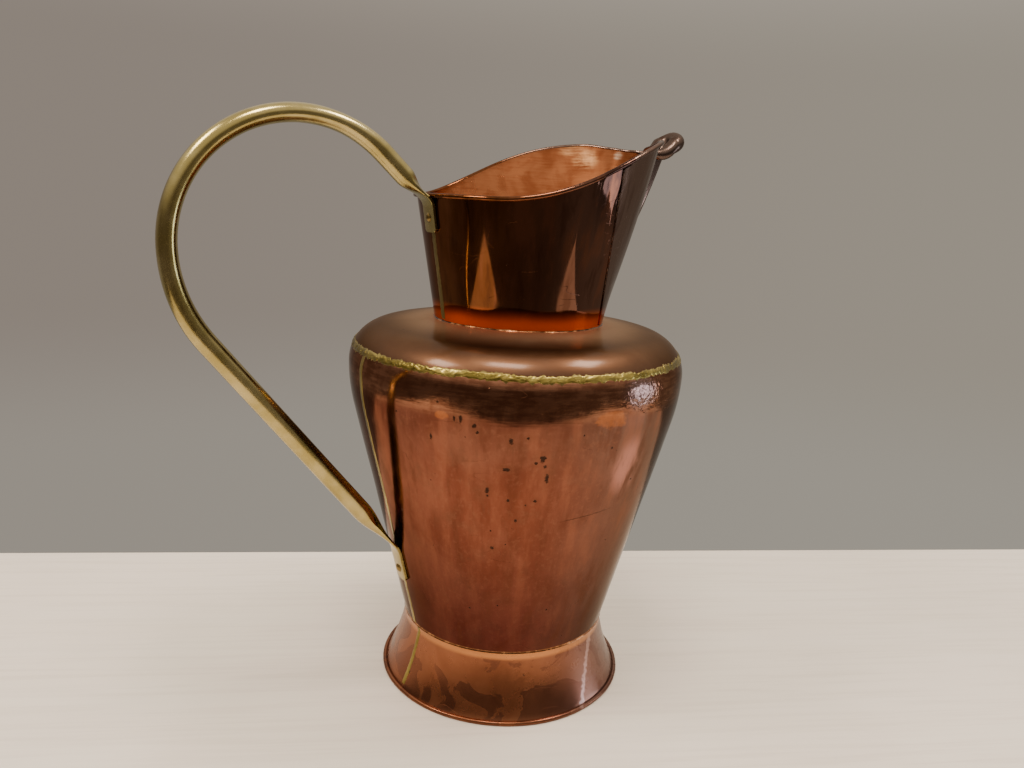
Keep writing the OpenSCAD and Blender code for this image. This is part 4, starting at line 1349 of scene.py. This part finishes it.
def make_lamps():
    for name, place in LAMPS:
        lamp(name, place, LAMP_AIM, LAMP_SIZE, LAMP_WATTS, WARM)
    lamp("window", SIDE_PLACE, SIDE_AIM, SIDE_SIZE, SIDE_WATTS, COOL)


def make_room():
    """Grey all round as seen behind the can, darker toward the camera, paler overhead."""
    world = bpy.data.worlds.new("room")
    bpy.context.scene.world = world
    world.use_nodes = True
    tree = world.node_tree
    tree.nodes.clear()
    paint = Paint.__new__(Paint)
    paint.tree = tree
    way = paint.add("TexCoord", out="Generated")
    turn = paint.add("VectorRotate", {"rotation_type": "Z_AXIS"}, {0: way, "Angle": CAN_TURN})
    right, away, up = paint.split(turn)
    wall = paint.mix(paint.ramp(right, -0.55, 0.60), WALL_LEFT, WALL_RIGHT)
    low = 1 - paint.ramp(up, -0.30, -0.13)
    wall = paint.mix(low * 0.45, wall, WALL_LOW)
    behind = (1 - paint.ramp(away, -0.35, 0.25)) * (1 - paint.ramp(right, 0.40, 0.90) * 0.5)
    room = paint.mix(behind, wall, ROOM_BEHIND)
    sky = paint.mix(paint.ramp(up, 0.14, 0.60), room, CEILING)
    glow = paint.add("Background", inputs={"Color": sky, "Strength": 1.0})
    output = tree.nodes.new("ShaderNodeOutputWorld")
    tree.links.new(glow.socket, output.inputs["Surface"])


def make_camera():
    data = bpy.data.cameras.new("camera")
    data.lens = FOCAL_PX / PHOTO_W * data.sensor_width
    camera = bpy.data.objects.new("camera", data)
    bpy.context.scene.collection.objects.link(camera)
    turn = (Matrix.Rotation(-CAN_TURN - CAMERA_PAN, 3, "Z")
            @ Matrix.Rotation(math.pi / 2 - CAMERA_DOWN, 3, "X")
            @ Matrix.Rotation(CAMERA_ROLL, 3, "Z"))
    stand = Matrix.Rotation(-CAN_TURN, 3, "Z") @ Vector((0, -CAMERA_AWAY, CAMERA_HEIGHT))
    camera.matrix_world = Matrix.Translation(stand) @ turn.to_4x4()
    bpy.context.scene.camera = camera


def build():
    body_copper = copper(
        "body_copper_old", light=tone(0.208, 0.074, 0.045), deep=tone(0.152, 0.046, 0.026),
        dull=tone(0.140, 0.058, 0.034), shine=0.13, pits=0.09, marks=body_marks, hammer=0.04 * MM,
        rings=0.06 * MM, wipes=1.2, edge=tone(0.60, 0.57, 0.54))
    shoulder_copper = copper(
        "shoulder_copper_old", light=tone(0.118, 0.056, 0.029), deep=tone(0.090, 0.040, 0.020),
        dull=tone(0.082, 0.043, 0.026), shine=0.38, pits=0.02, wipes=0.3, rings=0.03 * MM,
        marks=shoulder_marks, edge=tone(0.64, 0.50, 0.38), coat=0.3)
    neck_copper = copper(
        "neck_copper_old", light=tone(0.165, 0.060, 0.022), deep=tone(0.120, 0.040, 0.013),
        dull=tone(0.120, 0.050, 0.022), shine=0.055, pits=0.012, wipes=0.15,
        marks=neck_marks(side=tone(0.130, 0.062, 0.043), shade=0.8, satin=0.0), edge=NECK_EDGE)
    spout_copper = copper(
        "spout_copper_old", light=tone(0.150, 0.072, 0.040), deep=tone(0.120, 0.055, 0.030),
        dull=tone(0.120, 0.060, 0.036), shine=0.10, pits=0.012, wipes=0.15,
        marks=neck_marks(side=tone(0.185, 0.122, 0.100), shade=0.0, satin=0.08), edge=NECK_EDGE)
    foot_copper = copper(
        "foot_copper_old", light=tone(0.31, 0.120, 0.060), deep=tone(0.235, 0.084, 0.040),
        dull=tone(0.27, 0.108, 0.054), shine=0.28, pits=0.05, wipes=0.3, marks=foot_marks)
    seam_brass = brass(
        "seam_brass_old", light=tone(0.40, 0.31, 0.085), deep=tone(0.20, 0.15, 0.035), shine=0.30,
        relief=0.12 * MM, edges=seam_shade_and_soot)
    handle_brass = brass(
        "handle_brass_old", light=tone(0.46, 0.38, 0.17), deep=tone(0.35, 0.28, 0.10), shine=0.21,
        grain=(4, 4, 4), pits=0.04)
    rivet_brass = brass(
        "rivet_brass_old", light=tone(0.36, 0.26, 0.10), deep=tone(0.19, 0.13, 0.045), shine=0.32,
        pits=0.12)
    joints = solder("joint_solder_old", tone(0.17, 0.072, 0.032), tone(0.42, 0.20, 0.09))
    ring = solder("neck_solder_old", tone(0.060, 0.024, 0.012), tone(0.36, 0.16, 0.07))
    laps = solder("lap_solder_old", tone(0.040, 0.020, 0.014), tone(0.130, 0.080, 0.060))
    edges = wire_metal("edge_wire_old")
    neck, panel = make_neck()
    for piece, material, slot in [
            (make_body(), body_copper, "body_copper"),
            (make_shoulder(), shoulder_copper, "shoulder_copper"),
            (make_foot(), foot_copper, "foot_copper"),
            (neck, neck_copper, "neck_copper"),
            (panel, spout_copper, "spout_copper"),
            (make_handle(), handle_brass, "handle_brass"),
            (make_shoulder_seam(), seam_brass, "seam_brass"),
            (make_body_seam(), seam_brass, "seam_brass"),
            (make_foot_seam(), seam_brass, "seam_brass"),
            (make_neck_seam(), seam_brass, "seam_brass"),
            (make_neck_solder(), ring, "joint_solder"),
            (make_foot_solder(), joints, "joint_solder"),
            (make_rim_wire(), edges, "edge_wire")]:
        dress(piece, material, slot)
        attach(piece, "root")
    paint_cad("bottom_disc", body_copper)
    paint_cad("bottom_solder", joints)
    for node in ("spout_solder_left", "spout_solder_right"):
        paint_cad(node, laps)
    for node in ("upper_rivet", "lower_rivet"):
        paint_cad(node, rivet_brass)
    paint_cad("foot_wire", edges)


build()
make_table()
make_lamps()
make_room()
make_camera()
